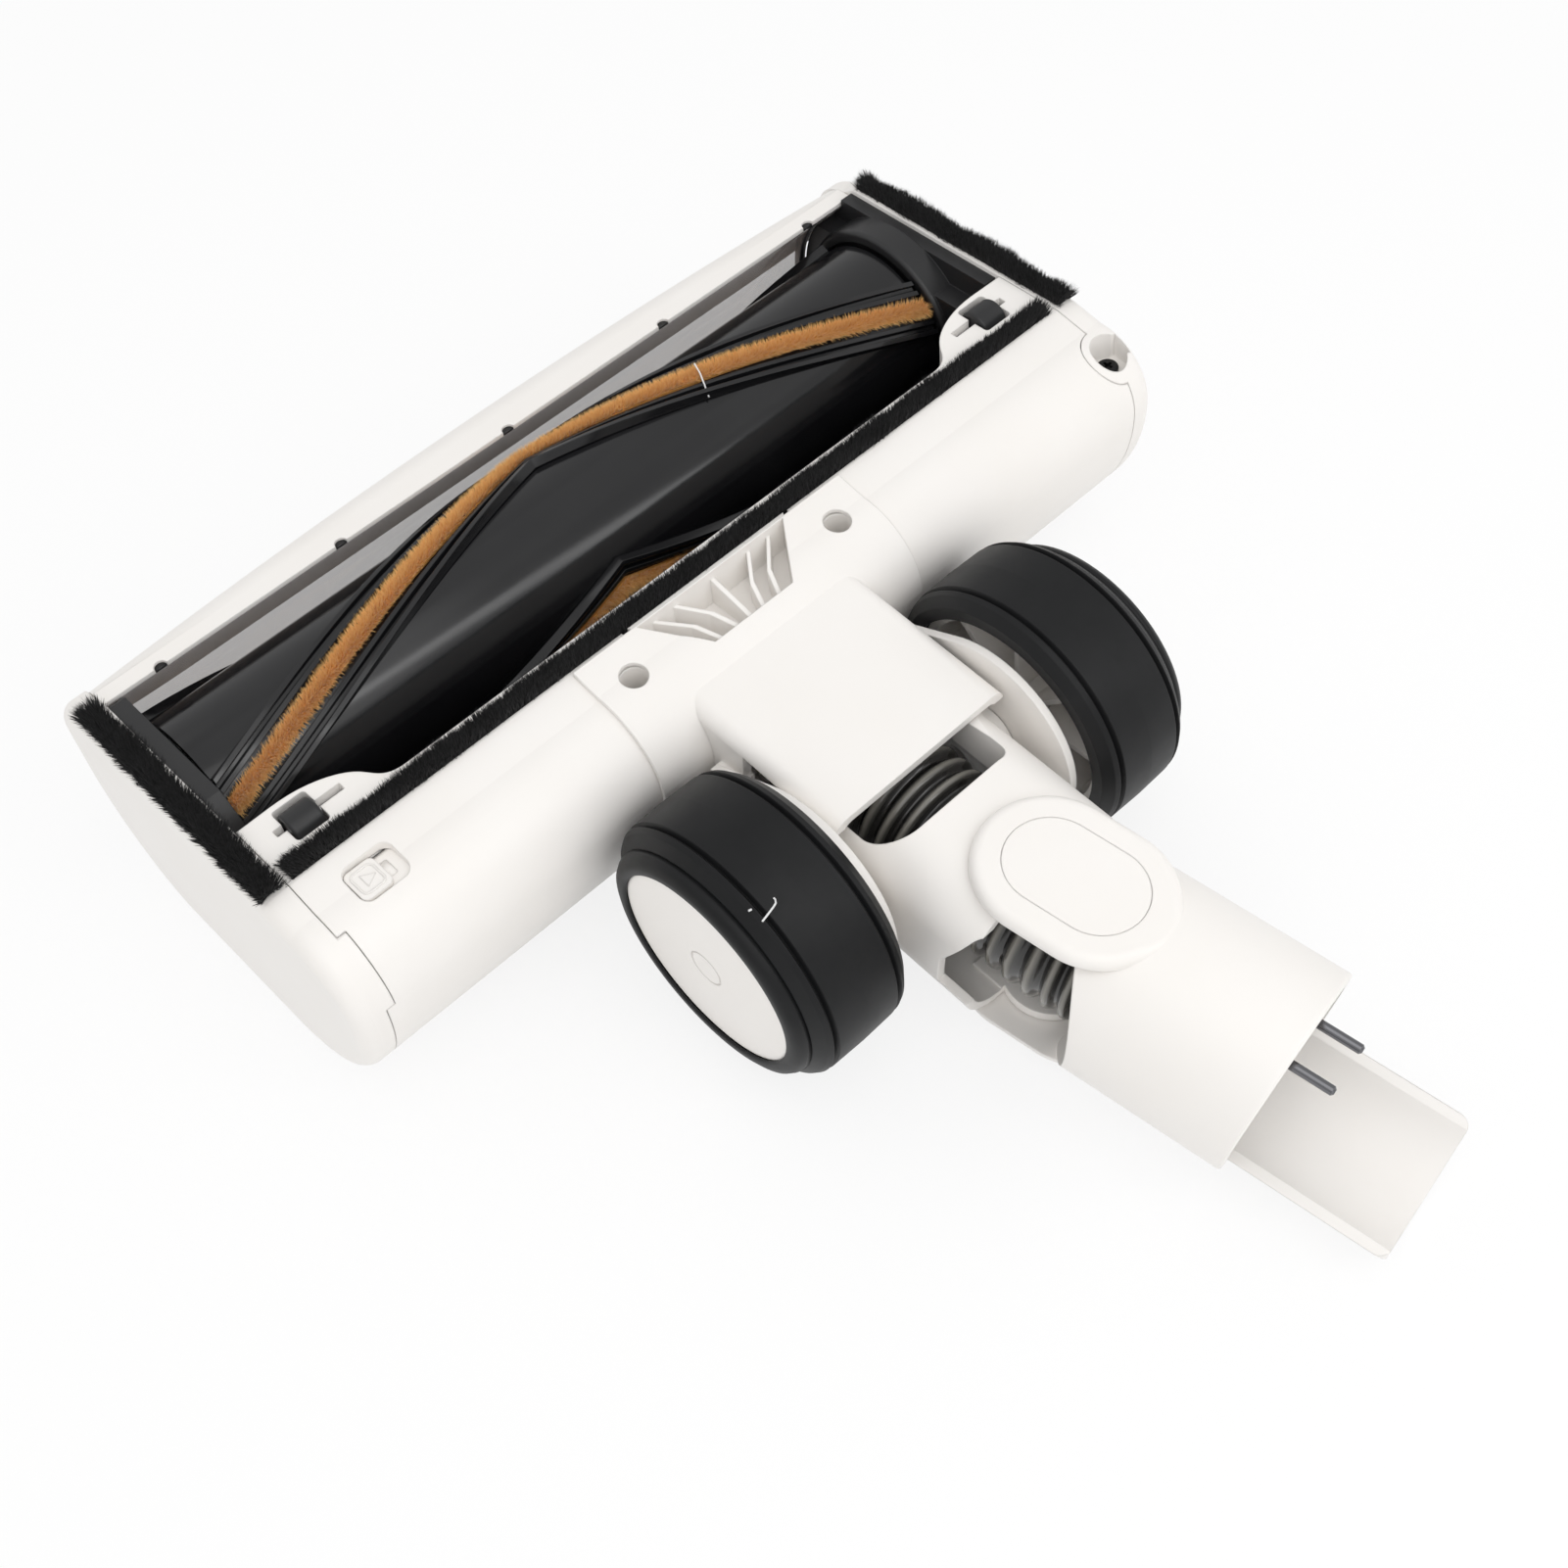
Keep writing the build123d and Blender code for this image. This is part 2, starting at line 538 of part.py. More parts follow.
# Front bumper: bowed in plan, rounded nose, lip over the window's edge with clip slots
with BuildPart() as front_bumper:
    with BuildSketch(Plane.XY.offset(BUMPER_LOW_Z)):
        with BuildLine():
            back = Line((shell_left, BUMPER_LIP_Y), (shell_right, BUMPER_LIP_Y))
            right = Line(back @ 1, (shell_right, BUMPER_Y - BUMPER_BOW))
            left = Line(back @ 0, (shell_left, BUMPER_Y - BUMPER_BOW))
            ThreePointArc(left @ 1, (0, BUMPER_Y), right @ 1)
        make_face()
    extrude(amount=BUMPER_TOP_Z - BUMPER_LOW_Z)
    front_face = front_bumper.faces().sort_by(Axis.Y)[-1]
    fillet(front_face.edges().sort_by(Axis.Z)[-1], radius=NOSE_R)
    front_face = front_bumper.faces().sort_by(Axis.Y)[-1]
    fillet(front_face.edges().sort_by(Axis.Z)[0], radius=1.5)
    groove_r = WINDOW_R + WINDOW_WALL + GAP / 2
    extrude(disc_x(shell_left, 0, ROLLER_Z, groove_r), amount=shell_length, mode=Mode.SUBTRACT)
    with Locations(((shell_left + shell_right) / 2, BUMPER_LIP_Y, BUMPER_TOP_Z)):
        Box(shell_length, NOSE_R / 2, BUMPER_LIP, align=(Align.CENTER, Align.MIN, Align.MAX))
    with Locations((0, BUMPER_LIP_Y, BUMPER_TOP_Z)):
        with GridLocations(SLOT_PITCH, 1, SLOT_COUNT, 1):
            Cylinder(1.6, FAR, mode=Mode.SUBTRACT)
save(front_bumper, "front_bumper")


# End caps: full end view, rounded outside, hollow inside, with a channel for the end strip
def end_cap_blank(joint_x, depth, cup=False):
    """End cap from its joint face outwards, with its inner hollow and pile channel."""
    with BuildPart() as blank:
        extrude(head_section(joint_x, 0), amount=depth)
        outer = blank.faces().sort_by(Axis.X)[-1 if depth > 0 else 0]
        fillet(outer.edges(), radius=CAP_ROUND)
        hollow = depth - WALL if depth > 0 else depth + WALL
        space = extrude(head_section(joint_x, PILE_BASE + WALL), amount=hollow, mode=Mode.PRIVATE)
        if cup:
            cup_wall = Cylinder(SCOOP_R + CUP_WALL, FAR, mode=Mode.PRIVATE)
            space -= Pos(SCOOP_X, SCOOP_Y, SCOOP_Z + FAR / 2 - WALL) * cup_wall
        add(space, mode=Mode.SUBTRACT)
        side = 1 if depth > 0 else -1
        pile_x = joint_x + side * (END_LIP + PILE_WIDTH / 2)
        pile_y = (END_PILE_FRONT_Y + END_PILE_REAR_Y) / 2
        with Locations((pile_x, pile_y, SOLE_Z)):
            Box(PILE_WIDTH + GAP, END_PILE_FRONT_Y - END_PILE_REAR_Y + GAP, 2 * PILE_BASE, mode=Mode.SUBTRACT)
    return blank.part


with BuildPart() as left_end_cap:
    add(end_cap_blank(CAP_LEFT_X, -CAP_DEPTH))
    keep_tab = ((-FAR, tab_low_z), (REAR_Y + REAR_ROUND - 3, tab_top_z))
    extrude(head_section(CAP_LEFT_X, 0, WALL, keep_tab), amount=tab_depth)
    # Post that carries the roller's bearing block
    extrude(disc_x(CAP_LEFT_X - CAP_DEPTH + WALL, 0, ROLLER_Z, 8), amount=CAP_DEPTH - WALL + GAP)
    extrude(disc_x(CAP_LEFT_X - CAP_DEPTH + WALL + 1, 0, ROLLER_Z, SHAFT_R + 0.5), amount=CAP_DEPTH,
            mode=Mode.SUBTRACT)
    # Keeper that the latch's tongue enters
    with Locations((CAP_LEFT_X - 2.5, LATCH_Y, latch_floor - 5)):
        Box(5, 12, 6)
    with Locations((CAP_LEFT_X - 2.5, LATCH_Y, latch_floor - 3.2)):
        Box(6, 6.6, 2.4, mode=Mode.SUBTRACT)
save(left_end_cap, "left_end_cap")

with BuildPart() as right_end_cap:
    add(end_cap_blank(CAP_RIGHT_X, CAP_DEPTH, cup=True))
    # Lug with the screw's cup, let into the housing
    lug_x = SCOOP_X - SCOOP_R - CUP_WALL
    lug = extrude(head_section(lug_x, 0), amount=SCOOP_R + CUP_WALL, mode=Mode.PRIVATE)
    cup_wall = Cylinder(SCOOP_R + CUP_WALL, FAR, mode=Mode.PRIVATE)
    add(lug & Pos(SCOOP_X, SCOOP_Y, SCOOP_Z + FAR / 2 - WALL) * cup_wall)
    with Locations((SCOOP_X, SCOOP_Y, SCOOP_Z)):
        Cylinder(SCREW_R + GAP, 30, mode=Mode.SUBTRACT)
    with BuildSketch(Plane.XY.offset(SCOOP_Z)):
        with Locations((SCOOP_X, SCOOP_Y)):
            Circle(SCOOP_R)
            Rectangle(SCOOP_R + 0.6, 2 * SCOOP_R - 4, align=(Align.MIN, Align.CENTER))
    extrude(amount=FAR, mode=Mode.SUBTRACT)
save(right_end_cap, "right_end_cap")

# Bearing block of the roller's free end, carried by the left end cap
with BuildPart() as left_bearing_block:
    block_x = LINER_LEFT_X - GAP
    extrude(disc_x(CAP_LEFT_X + GAP, 0, ROLLER_Z, BLOCK_R), amount=block_x - CAP_LEFT_X - GAP)
    with Locations((0, 0, BLOCK_TOP_Z)):
        Box(FAR, FAR, FAR, align=(Align.CENTER, Align.CENTER, Align.MIN), mode=Mode.SUBTRACT)
    extrude(disc_x(CAP_LEFT_X, 0, ROLLER_Z, SHAFT_R + RUN), amount=CAP_DEPTH, mode=Mode.SUBTRACT)
save(left_bearing_block, "left_bearing_block")

# Drive bracket: shaft bearing, belt housing and the guard round the roller's driven end
with BuildPart() as drive_bracket:
    bracket_x = CAP_RIGHT_X - GAP / 2
    bracket_front = BUMPER_LIP_Y - 2 * GAP
    with BuildSketch(Plane.YZ.offset(BRACKET_FACE_X)):
        with Locations((0, ROLLER_Z)):
            Circle(BLOCK_R)
        with BuildLine():
            Polyline((BRACKET_REAR_Y, ROLLER_Z), (BRACKET_REAR_Y, BRACKET_TOP_Z),
                     (bracket_front, BRACKET_TOP_Z), (bracket_front, ROLLER_Z), close=True)
        make_face()
    extrude(amount=bracket_x - BRACKET_FACE_X)
    with Locations((BAND_FACE_X, 0, SHELF_Z)):
        Box(FAR, FAR, FAR, align=(Align.MAX, Align.CENTER, Align.MIN), mode=Mode.SUBTRACT)
    with Locations((0, 0, BRACKET_TOP_Z)):
        Box(FAR, FAR, FAR, align=(Align.CENTER, Align.CENTER, Align.MIN), mode=Mode.SUBTRACT)
    with Locations((SHELF_HOLE_X, SHELF_HOLE_Y, SHELF_Z)):
        Cylinder(SHELF_HOLE_R, 4, mode=Mode.SUBTRACT)
    collar_x = LINER_RIGHT_X + GAP
    belt_room = ROLLER_PULLEY_R + 3
    collar = extrude(disc_x(collar_x, 0, ROLLER_Z, COLLAR_R), amount=BAND_FACE_X - collar_x,
                     mode=Mode.PRIVATE)
    collar = collar.fillet(COLLAR_EDGE, [collar.edges().sort_by(Axis.X)[0]])
    add(collar)
    extrude(disc_x(collar_x, 0, ROLLER_Z, COLLAR_BORE_R), amount=BRACKET_FACE_X - collar_x,
            mode=Mode.SUBTRACT)
    with BuildSketch(Plane.YZ.offset(PULLEY_X - 0.4)):
        with BuildLine():
            Polyline((0, ROLLER_Z + belt_room), (MOTOR_Y, ROLLER_Z + belt_room),
                     (MOTOR_Y, ROLLER_Z - belt_room), (0, ROLLER_Z - belt_room), close=True)
        make_face()
        with Locations((0, ROLLER_Z)):
            Circle(belt_room)
    extrude(amount=PULLEY_WIDTH + 0.8, mode=Mode.SUBTRACT)
    extrude(disc_x(LINER_RIGHT_X, 0, ROLLER_Z, SHAFT_R + RUN), amount=PULLEY_X - LINER_RIGHT_X,
            mode=Mode.SUBTRACT)
save(drive_bracket, "drive_bracket")

# Roller: tube with V-shaped rails, plush strips, end hubs and pulley
plush_out = PLUSH_WIDTH / 2
rail_r = CORE_R + RAIL_HEIGHT
ridges_out = plush_out + 0.1  # the rails hold the plush from both sides
valley = CORE_R + 0.3
rail_profile = [(CORE_R - 1, ridges_out), (rail_r, ridges_out), (rail_r, ridges_out + RAIL - 0.1),
                (valley, ridges_out + RAIL + 0.2), (valley, ridges_out + 2 * RAIL - 0.2),
                (rail_r, ridges_out + 2 * RAIL + 0.1), (rail_r - 0.2, ridges_out + 3 * RAIL),
                (CORE_R - 1, ridges_out + 3 * RAIL)]
other_rail = [(radius, -offset) for radius, offset in rail_profile]
plush_profile = [(CORE_R + 0.03, -plush_out), (CORE_R + 0.6 * PLUSH_HEIGHT, -plush_out),
                 (tip_r - 0.4, -0.6 * plush_out), (tip_r, 0), (tip_r - 0.4, 0.6 * plush_out),
                 (CORE_R + 0.6 * PLUSH_HEIGHT, plush_out), (CORE_R + 0.03, plush_out)]
with BuildPart() as roller_core:
    extrude(disc_x(ROLLER_LEFT_X, 0, ROLLER_Z, CORE_R), amount=ROLLER_RIGHT_X - ROLLER_LEFT_X)
    for apex in strip_apexes():
        for side in (-1, 1):
            loft(v_strip_half(apex, side, rail_profile))
            loft(v_strip_half(apex, side, other_rail))
    extrude(disc_x(ROLLER_LEFT_X, 0, ROLLER_Z, CORE_R - CORE_WALL), amount=ROLLER_RIGHT_X - ROLLER_LEFT_X,
            mode=Mode.SUBTRACT)
save(roller_core, "roller_core")

with BuildPart() as plush_strips:
    for apex in strip_apexes():
        for side in (-1, 1):
            loft(v_strip_half(apex, side, plush_profile))
save(plush_strips, "plush_strips")

with BuildPart() as roller_left_hub:
    extrude(disc_x(ROLLER_LEFT_X, 0, ROLLER_Z, CORE_R - CORE_WALL), amount=HUB_DEPTH)
    extrude(disc_x(CAP_LEFT_X - 1, 0, ROLLER_Z, SHAFT_R), amount=ROLLER_LEFT_X - CAP_LEFT_X + 1)
save(roller_left_hub, "roller_left_hub")

pulley_end = PULLEY_X + PULLEY_WIDTH
with BuildPart() as roller_drive_hub:
    extrude(disc_x(ROLLER_RIGHT_X, 0, ROLLER_Z, CORE_R - CORE_WALL), amount=-HUB_DEPTH)
    extrude(disc_x(ROLLER_RIGHT_X, 0, ROLLER_Z, SHAFT_R), amount=pulley_end - ROLLER_RIGHT_X)
save(roller_drive_hub, "roller_drive_hub")

with BuildPart() as roller_pulley:
    extrude(disc_x(PULLEY_X, 0, ROLLER_Z, ROLLER_PULLEY_R), amount=PULLEY_WIDTH)
    extrude(disc_x(PULLEY_X, 0, ROLLER_Z, SHAFT_R), amount=PULLEY_WIDTH, mode=Mode.SUBTRACT)
save(roller_pulley, "roller_pulley")

# Motor in its chamber, its pulley and the belt
motor_end = MOTOR_WALL_X - RUN
with BuildPart() as motor:
    extrude(disc_x(motor_end, MOTOR_Y, MOTOR_Z, MOTOR_R), amount=-MOTOR_LENGTH)
    fillet(motor.edges().filter_by(GeomType.CIRCLE), radius=2)
    extrude(disc_x(motor_end, MOTOR_Y, MOTOR_Z, MOTOR_SHAFT_R + RUN), amount=-12, mode=Mode.SUBTRACT)
save(motor, "motor")

with BuildPart() as motor_pulley:
    extrude(disc_x(PULLEY_X, MOTOR_Y, MOTOR_Z, MOTOR_PULLEY_R), amount=PULLEY_WIDTH)
    extrude(disc_x(motor_end - 11, MOTOR_Y, MOTOR_Z, MOTOR_SHAFT_R), amount=PULLEY_X - motor_end + 11)
save(motor_pulley, "motor_pulley")

with BuildPart() as drive_belt:
    extrude(belt_hull(BELT_GAP + BELT), amount=PULLEY_WIDTH)
    extrude(belt_hull(BELT_GAP), amount=PULLEY_WIDTH, mode=Mode.SUBTRACT)
    for trim_x, end in ((PULLEY_X + 0.4, Align.MAX), (pulley_end - 0.4, Align.MIN)):
        with Locations((trim_x, 0, ROLLER_Z)):
            Box(FAR, FAR, FAR, align=(end, Align.CENTER, Align.CENTER), mode=Mode.SUBTRACT)
save(drive_belt, "drive_belt")

# Pile strips: base in its channel, pile above the sole
with BuildPart() as rear_pile_strip:
    rear_mid = REAR_PILE_Y + PILE_WIDTH / 2
    with Locations((0, rear_mid, SOLE_Z - PILE_BASE)):
        Box(2 * REAR_PILE_HALF, PILE_WIDTH, PILE_BASE, align=(Align.CENTER, Align.CENTER, Align.MIN))
    with Locations((0, rear_mid + TOOTH_STEP / 2, SOLE_Z)):
        Box(2 * REAR_PILE_HALF, PILE_WIDTH - TOOTH_STEP, PILE_HEIGHT,
            align=(Align.CENTER, Align.CENTER, Align.MIN))
    with Locations((0, REAR_PILE_Y + TOOTH_STEP / 2, SOLE_Z)):
        with GridLocations(TOOTH_PITCH, 1, TOOTH_COUNT, 1):
            Box(TOOTH_LENGTH, TOOTH_STEP, PILE_HEIGHT - 1, align=(Align.CENTER, Align.CENTER, Align.MIN))
save(rear_pile_strip, "rear_pile_strip")

pile_length = END_PILE_FRONT_Y - END_PILE_REAR_Y
pile_mid_y = (END_PILE_FRONT_Y + END_PILE_REAR_Y) / 2
with BuildPart() as left_pile_strip:
    with Locations((CAP_LEFT_X - END_LIP - PILE_WIDTH / 2, pile_mid_y, SOLE_Z - PILE_BASE)):
        Box(PILE_WIDTH, pile_length, PILE_BASE + PILE_HEIGHT, align=(Align.CENTER, Align.CENTER, Align.MIN))
    fillet(left_pile_strip.edges().filter_by(Axis.Z), radius=1)
save(left_pile_strip, "left_pile_strip")

with BuildPart() as right_pile_strip:
    with Locations((CAP_RIGHT_X + END_LIP + PILE_WIDTH / 2, pile_mid_y, SOLE_Z - PILE_BASE)):
        Box(PILE_WIDTH, pile_length, PILE_BASE + PILE_HEIGHT, align=(Align.CENTER, Align.CENTER, Align.MIN))
    fillet(right_pile_strip.edges().filter_by(Axis.Z), radius=1)
save(right_pile_strip, "right_pile_strip")

# Sole rollers on their pins
with BuildPart() as sole_roller_pins:
    for side in (-1, 1):
        extrude(disc_x(side * SOLE_PIN_IN_X, SOLE_ROLLER_Y, SOLE_ROLLER_Z, SOLE_PIN_R),
                amount=side * (SOLE_PIN_OUT_X - SOLE_PIN_IN_X))
save(sole_roller_pins, "sole_roller_pins")


def sole_roller_blank(side):
    """Small roller with softly rounded rims and its pin hole."""
    start = side * SOLE_ROLLER_X - SOLE_ROLLER_LENGTH / 2
    with BuildPart() as blank:
        extrude(disc_x(start, SOLE_ROLLER_Y, SOLE_ROLLER_Z, SOLE_ROLLER_R), amount=SOLE_ROLLER_LENGTH)
        fillet(blank.edges().filter_by(GeomType.CIRCLE), radius=0.8)
        extrude(disc_x(start, SOLE_ROLLER_Y, SOLE_ROLLER_Z, SOLE_PIN_R + RUN), amount=SOLE_ROLLER_LENGTH,
                mode=Mode.SUBTRACT)
    return blank.part


with BuildPart() as left_sole_roller:
    add(sole_roller_blank(-1))
save(left_sole_roller, "left_sole_roller")

with BuildPart() as right_sole_roller:
    add(sole_roller_blank(1))
save(right_sole_roller, "right_sole_roller")

# Latch: button in the recess, stem through the slot, tongue into the end cap
under_z = latch_floor - 2.0  # just under the housing wall
with BuildPart() as latch_slider:
    button = plan_rectangle(latch_floor + RUN, stem_x, LATCH_Y, LATCH_LENGTH, LATCH_RECESS_Y - 1, 1.5)
    extrude(button, amount=LATCH_RECESS_DEPTH - 0.3)
    with BuildSketch(Plane.XY.offset(latch_floor + LATCH_RECESS_DEPTH - 0.4)):
        with Locations((stem_x, LATCH_Y)):
            RegularPolygon(LATCH_MARK, 3)
    extrude(amount=0.4)
    extrude(plan_rectangle(under_z - 2, stem_x, LATCH_Y, 3, 4.2, 0.4), amount=4.5)
    tongue_start = CAP_LEFT_X - LATCH_TONGUE / 2
    with Locations((tongue_start, LATCH_Y, under_z - 2)):
        Box(stem_x + 3 - tongue_start, LATCH_TONGUE, 1.9, align=(Align.MIN, Align.CENTER, Align.MIN))
save(latch_slider, "latch_slider")

spring_x = stem_x + 3 + 0.4
spring_length = LATCH_TRAVEL + 4.0
with BuildPart() as latch_spring:
    with BuildLine() as coil:
        Helix(spring_length / SPRING_TURNS, spring_length, SPRING_R,
              center=(spring_x, LATCH_Y, under_z - 1.1), direction=(1, 0, 0))
    with BuildSketch(Plane(coil.line @ 0, z_dir=coil.line % 0)):
        Circle(SPRING_WIRE)
    sweep(is_frenet=True)
save(latch_spring, "latch_spring")

# Neck base: wraps the housing, carries the wheels and the neck
plate_slope = (PLATE_FRONT_Z - PLATE_REAR_Z) / (PLATE_FRONT_Y - PLATE_REAR_Y)
side_end_y = AXLE_Y + NECK_HALF_Z + 1.5  # the neck swings down behind this line
tray_low = AXLE_Z + HOSE_R + HOSE_WAY + 2 * TRAY_WALL


def plate_plane(y):
    """Plane across the neck plate, with its origin on the plate's top face."""
    top = PLATE_REAR_Z + plate_slope * (y - PLATE_REAR_Y)
    return Plane((0, y, top), x_dir=(-1, 0, 0), z_dir=(0, 1, plate_slope))


def recess_plan(z, grow):
    """Four-cornered recess in front of the neck plate."""
    with BuildSketch(Plane.XY.offset(z)) as face:
        with BuildLine():
            Polyline((-RECESS_FRONT_HALF - grow, SOLE_REAR_Y - 1 + grow),
                     (RECESS_FRONT_HALF + grow, SOLE_REAR_Y - 1 + grow),
                     (RECESS_REAR_HALF + grow, PLATE_FRONT_Y - grow),
                     (-RECESS_REAR_HALF - grow, PLATE_FRONT_Y - grow), close=True)
        make_face()
    return face.sketch


def recess_ribs():
    """Fan of ribs across the recess, each bent once, their tops falling from the sole to the plate."""
    bend_y = (SOLE_REAR_Y + PLATE_FRONT_Y) / 2
    with BuildPart() as fan:
        for front_x, rear_x in ((0, 0), (11.2, 3.3), (17.4, 8.0), (-11.2, -3.3), (-17.4, -8.0)):
            bend_x = rear_x + 0.35 * (front_x - rear_x)
            half = RIB / 2
            with BuildSketch(Plane.XY.offset(tray_low + 1)):
                with BuildLine():
                    Polyline((front_x - half, SOLE_REAR_Y - 0.8), (front_x + half, SOLE_REAR_Y - 0.8),
                             (bend_x + half, bend_y), (rear_x + half, PLATE_FRONT_Y - 0.2),
                             (rear_x - half, PLATE_FRONT_Y - 0.2), (bend_x - half, bend_y), close=True)
                make_face()
            extrude(amount=SOLE_Z - tray_low - 1)
        with BuildSketch(Plane.YZ.offset(-FAR / 2)):
            with BuildLine():
                Polyline((SOLE_REAR_Y + 1, SOLE_Z - 0.8), (PLATE_FRONT_Y - 1, PLATE_FRONT_Z - 0.6),
                         (PLATE_FRONT_Y - 1, FAR), (SOLE_REAR_Y + 1, FAR), close=True)
            make_face()
        extrude(amount=FAR, mode=Mode.SUBTRACT)
    return fan.part


with BuildPart() as neck_base:
    # Rounded box round the hose, open below the plate where the neck swings
    with BuildSketch(plate_plane(PLATE_REAR_Y)):
        with Locations((0, -SIDE_HEIGHT / 2)):
            RectangleRounded(2 * SIDE_X, SIDE_HEIGHT, SIDE_ROUND)
            RectangleRounded(2 * (SIDE_X - PLATE), SIDE_HEIGHT - 2 * PLATE, SIDE_ROUND - PLATE / 2,
                             mode=Mode.SUBTRACT)
    extrude(amount=SOLE_REAR_Y - PLATE_REAR_Y)
    with BuildSketch(plate_plane(PLATE_REAR_Y)):
        with Locations((0, -SKIRT)):
            Rectangle(FAR, FAR, align=(Align.CENTER, Align.MAX))
    extrude(amount=side_end_y - PLATE_REAR_Y, mode=Mode.SUBTRACT)
    for side in (-1, 1):
        with BuildSketch(Plane.YZ.offset(side * CHEEK_IN_X)):
            with BuildSketch(mode=Mode.PRIVATE) as cheek:
                with Locations((AXLE_Y, AXLE_Z)):
                    Circle(CHEEK_R)
                with Locations((side_end_y + 6, AXLE_Z)):
                    Rectangle(4, CHEEK_ROOT)
            make_hull(cheek.sketch.edges())
        extrude(amount=side * CHEEK)
        extrude(disc_x(side * CHEEK_IN_X, AXLE_Y, AXLE_Z, AXLE_R), amount=side * CHEEK, mode=Mode.SUBTRACT)
        # Root of the cheek on the box
        with Locations((side * (SIDE_X - PLATE), side_end_y, AXLE_Z)):
            Box(cheek_out - SIDE_X + PLATE, 8, CHEEK_ROOT,
                align=(Align.MIN if side > 0 else Align.MAX, Align.MIN, Align.CENTER))
    keep_band = ((-FAR, SEAM_Z), (SOLE_REAR_Y - 0.6, FAR))
    extrude(head_section(-BAND_HALF, -BAND, -GAP / 2, keep_band), amount=2 * BAND_HALF)
    extrude(head_section(-BAND_HALF, -GAP / 2), amount=2 * BAND_HALF, mode=Mode.SUBTRACT)
    with BuildSketch(Plane.XZ.offset(-REAR_Y - 12)):
        with Locations((0, AXLE_Z)):
            Circle(HOSE_R + HOSE_WAY)
    extrude(amount=24, mode=Mode.SUBTRACT)
    # Tray of the ribbed recess
    extrude(recess_plan(tray_low, TRAY_WALL), amount=SOLE_Z + 0.6 - tray_low)
    keep_top = ((PLATE_FRONT_Y - TRAY_WALL, tray_low), (FAR, FAR))
    extrude(head_section(-BAND_HALF, -FAR / 4, -BAND, keep_top), amount=2 * BAND_HALF, mode=Mode.SUBTRACT)
    extrude(recess_plan(tray_low + TRAY_WALL, 0), amount=FAR, mode=Mode.SUBTRACT)
    add(recess_ribs())
    # Boss tubes down to the screws
    for side in (-1, 1):
        with BuildSketch(Plane.XY.offset(SCREW_SEAT_Z - BOSS_FLOOR)):
            with Locations((side * BOSS_X, BOSS_Y)):
                Circle(BOSS_R + BOSS_TUBE)
        extrude(amount=SOLE_Z - 2 - SCREW_SEAT_Z + BOSS_FLOOR)
        with BuildSketch(Plane.XY.offset(SCREW_SEAT_Z)):
            with Locations((side * BOSS_X, BOSS_Y)):
                Circle(BOSS_R)
        extrude(amount=FAR, mode=Mode.SUBTRACT)
        with BuildSketch(Plane.XY.offset(SCREW_SEAT_Z - BOSS_FLOOR)):
            with Locations((side * BOSS_X, BOSS_Y)):
                Circle(SCREW_R + GAP)
        extrude(amount=BOSS_FLOOR, mode=Mode.SUBTRACT)
save(neck_base, "neck_base")


def add_screw(x, y, seat_z, length):
    """Pan-head screw standing on its seat, head up."""
    with BuildPart() as screw:
        with Locations((x, y, seat_z)):
            Cylinder(SCREW_HEAD_R, SCREW_HEAD, align=(Align.CENTER, Align.CENTER, Align.MIN))
        fillet(screw.edges().sort_by(Axis.Z)[-1], radius=0.7)
        with Locations((x, y, seat_z)):
            Cylinder(SCREW_R, length, align=(Align.CENTER, Align.CENTER, Align.MAX))
        with Locations((x, y, seat_z + SCREW_HEAD)):
            Box(2.6, 0.8, 1.6, mode=Mode.SUBTRACT)
            Box(0.8, 2.6, 1.6, mode=Mode.SUBTRACT)
    return screw.part


with BuildPart() as neck_base_screws:
    add(add_screw(-BOSS_X, BOSS_Y, SCREW_SEAT_Z, 10))
    add(add_screw(BOSS_X, BOSS_Y, SCREW_SEAT_Z, 10))
save(neck_base_screws, "neck_base_screws")

with BuildPart() as end_cap_screw:
    add(add_screw(SCOOP_X, SCOOP_Y, SCOOP_Z, 8))
save(end_cap_screw, "end_cap_screw")


# Wheels
def wheel_profile_tyre(side):
    """Half section of a tyre, radius up, with its two rim grooves."""
    with BuildSketch(Plane((0, AXLE_Y, AXLE_Z), x_dir=(side, 0, 0), z_dir=(0, -side, 0))) as half:
        with BuildLine():
            Polyline((TYRE_IN_X, seat_r), (TYRE_IN_X, WHEEL_R - 3), (TYRE_IN_X + 2, WHEEL_R - 0.9),
                     (GROOVE_IN_X - 0.7, WHEEL_R - 0.4), (GROOVE_IN_X, WHEEL_R - 1.6),
                     (GROOVE_IN_X + 0.7, WHEEL_R - 0.2), ((TYRE_IN_X + TYRE_OUT_X) / 2, WHEEL_R),
                     (GROOVE_OUT_X - 0.7, WHEEL_R - 0.2), (GROOVE_OUT_X, WHEEL_R - 1.6),
                     (GROOVE_OUT_X + 0.7, WHEEL_R - 0.4), (TYRE_OUT_X - 2, WHEEL_R - 1.2),
                     (TYRE_OUT_X, WHEEL_R - 3.6), (TYRE_OUT_X, seat_r), close=True)
        make_face()
    return half.sketch


with BuildPart() as left_tyre:
    revolve(wheel_profile_tyre(-1), axis=wheel_axis())
save(left_tyre, "left_tyre")

with BuildPart() as right_tyre:
    revolve(wheel_profile_tyre(1), axis=wheel_axis())
save(right_tyre, "right_tyre")


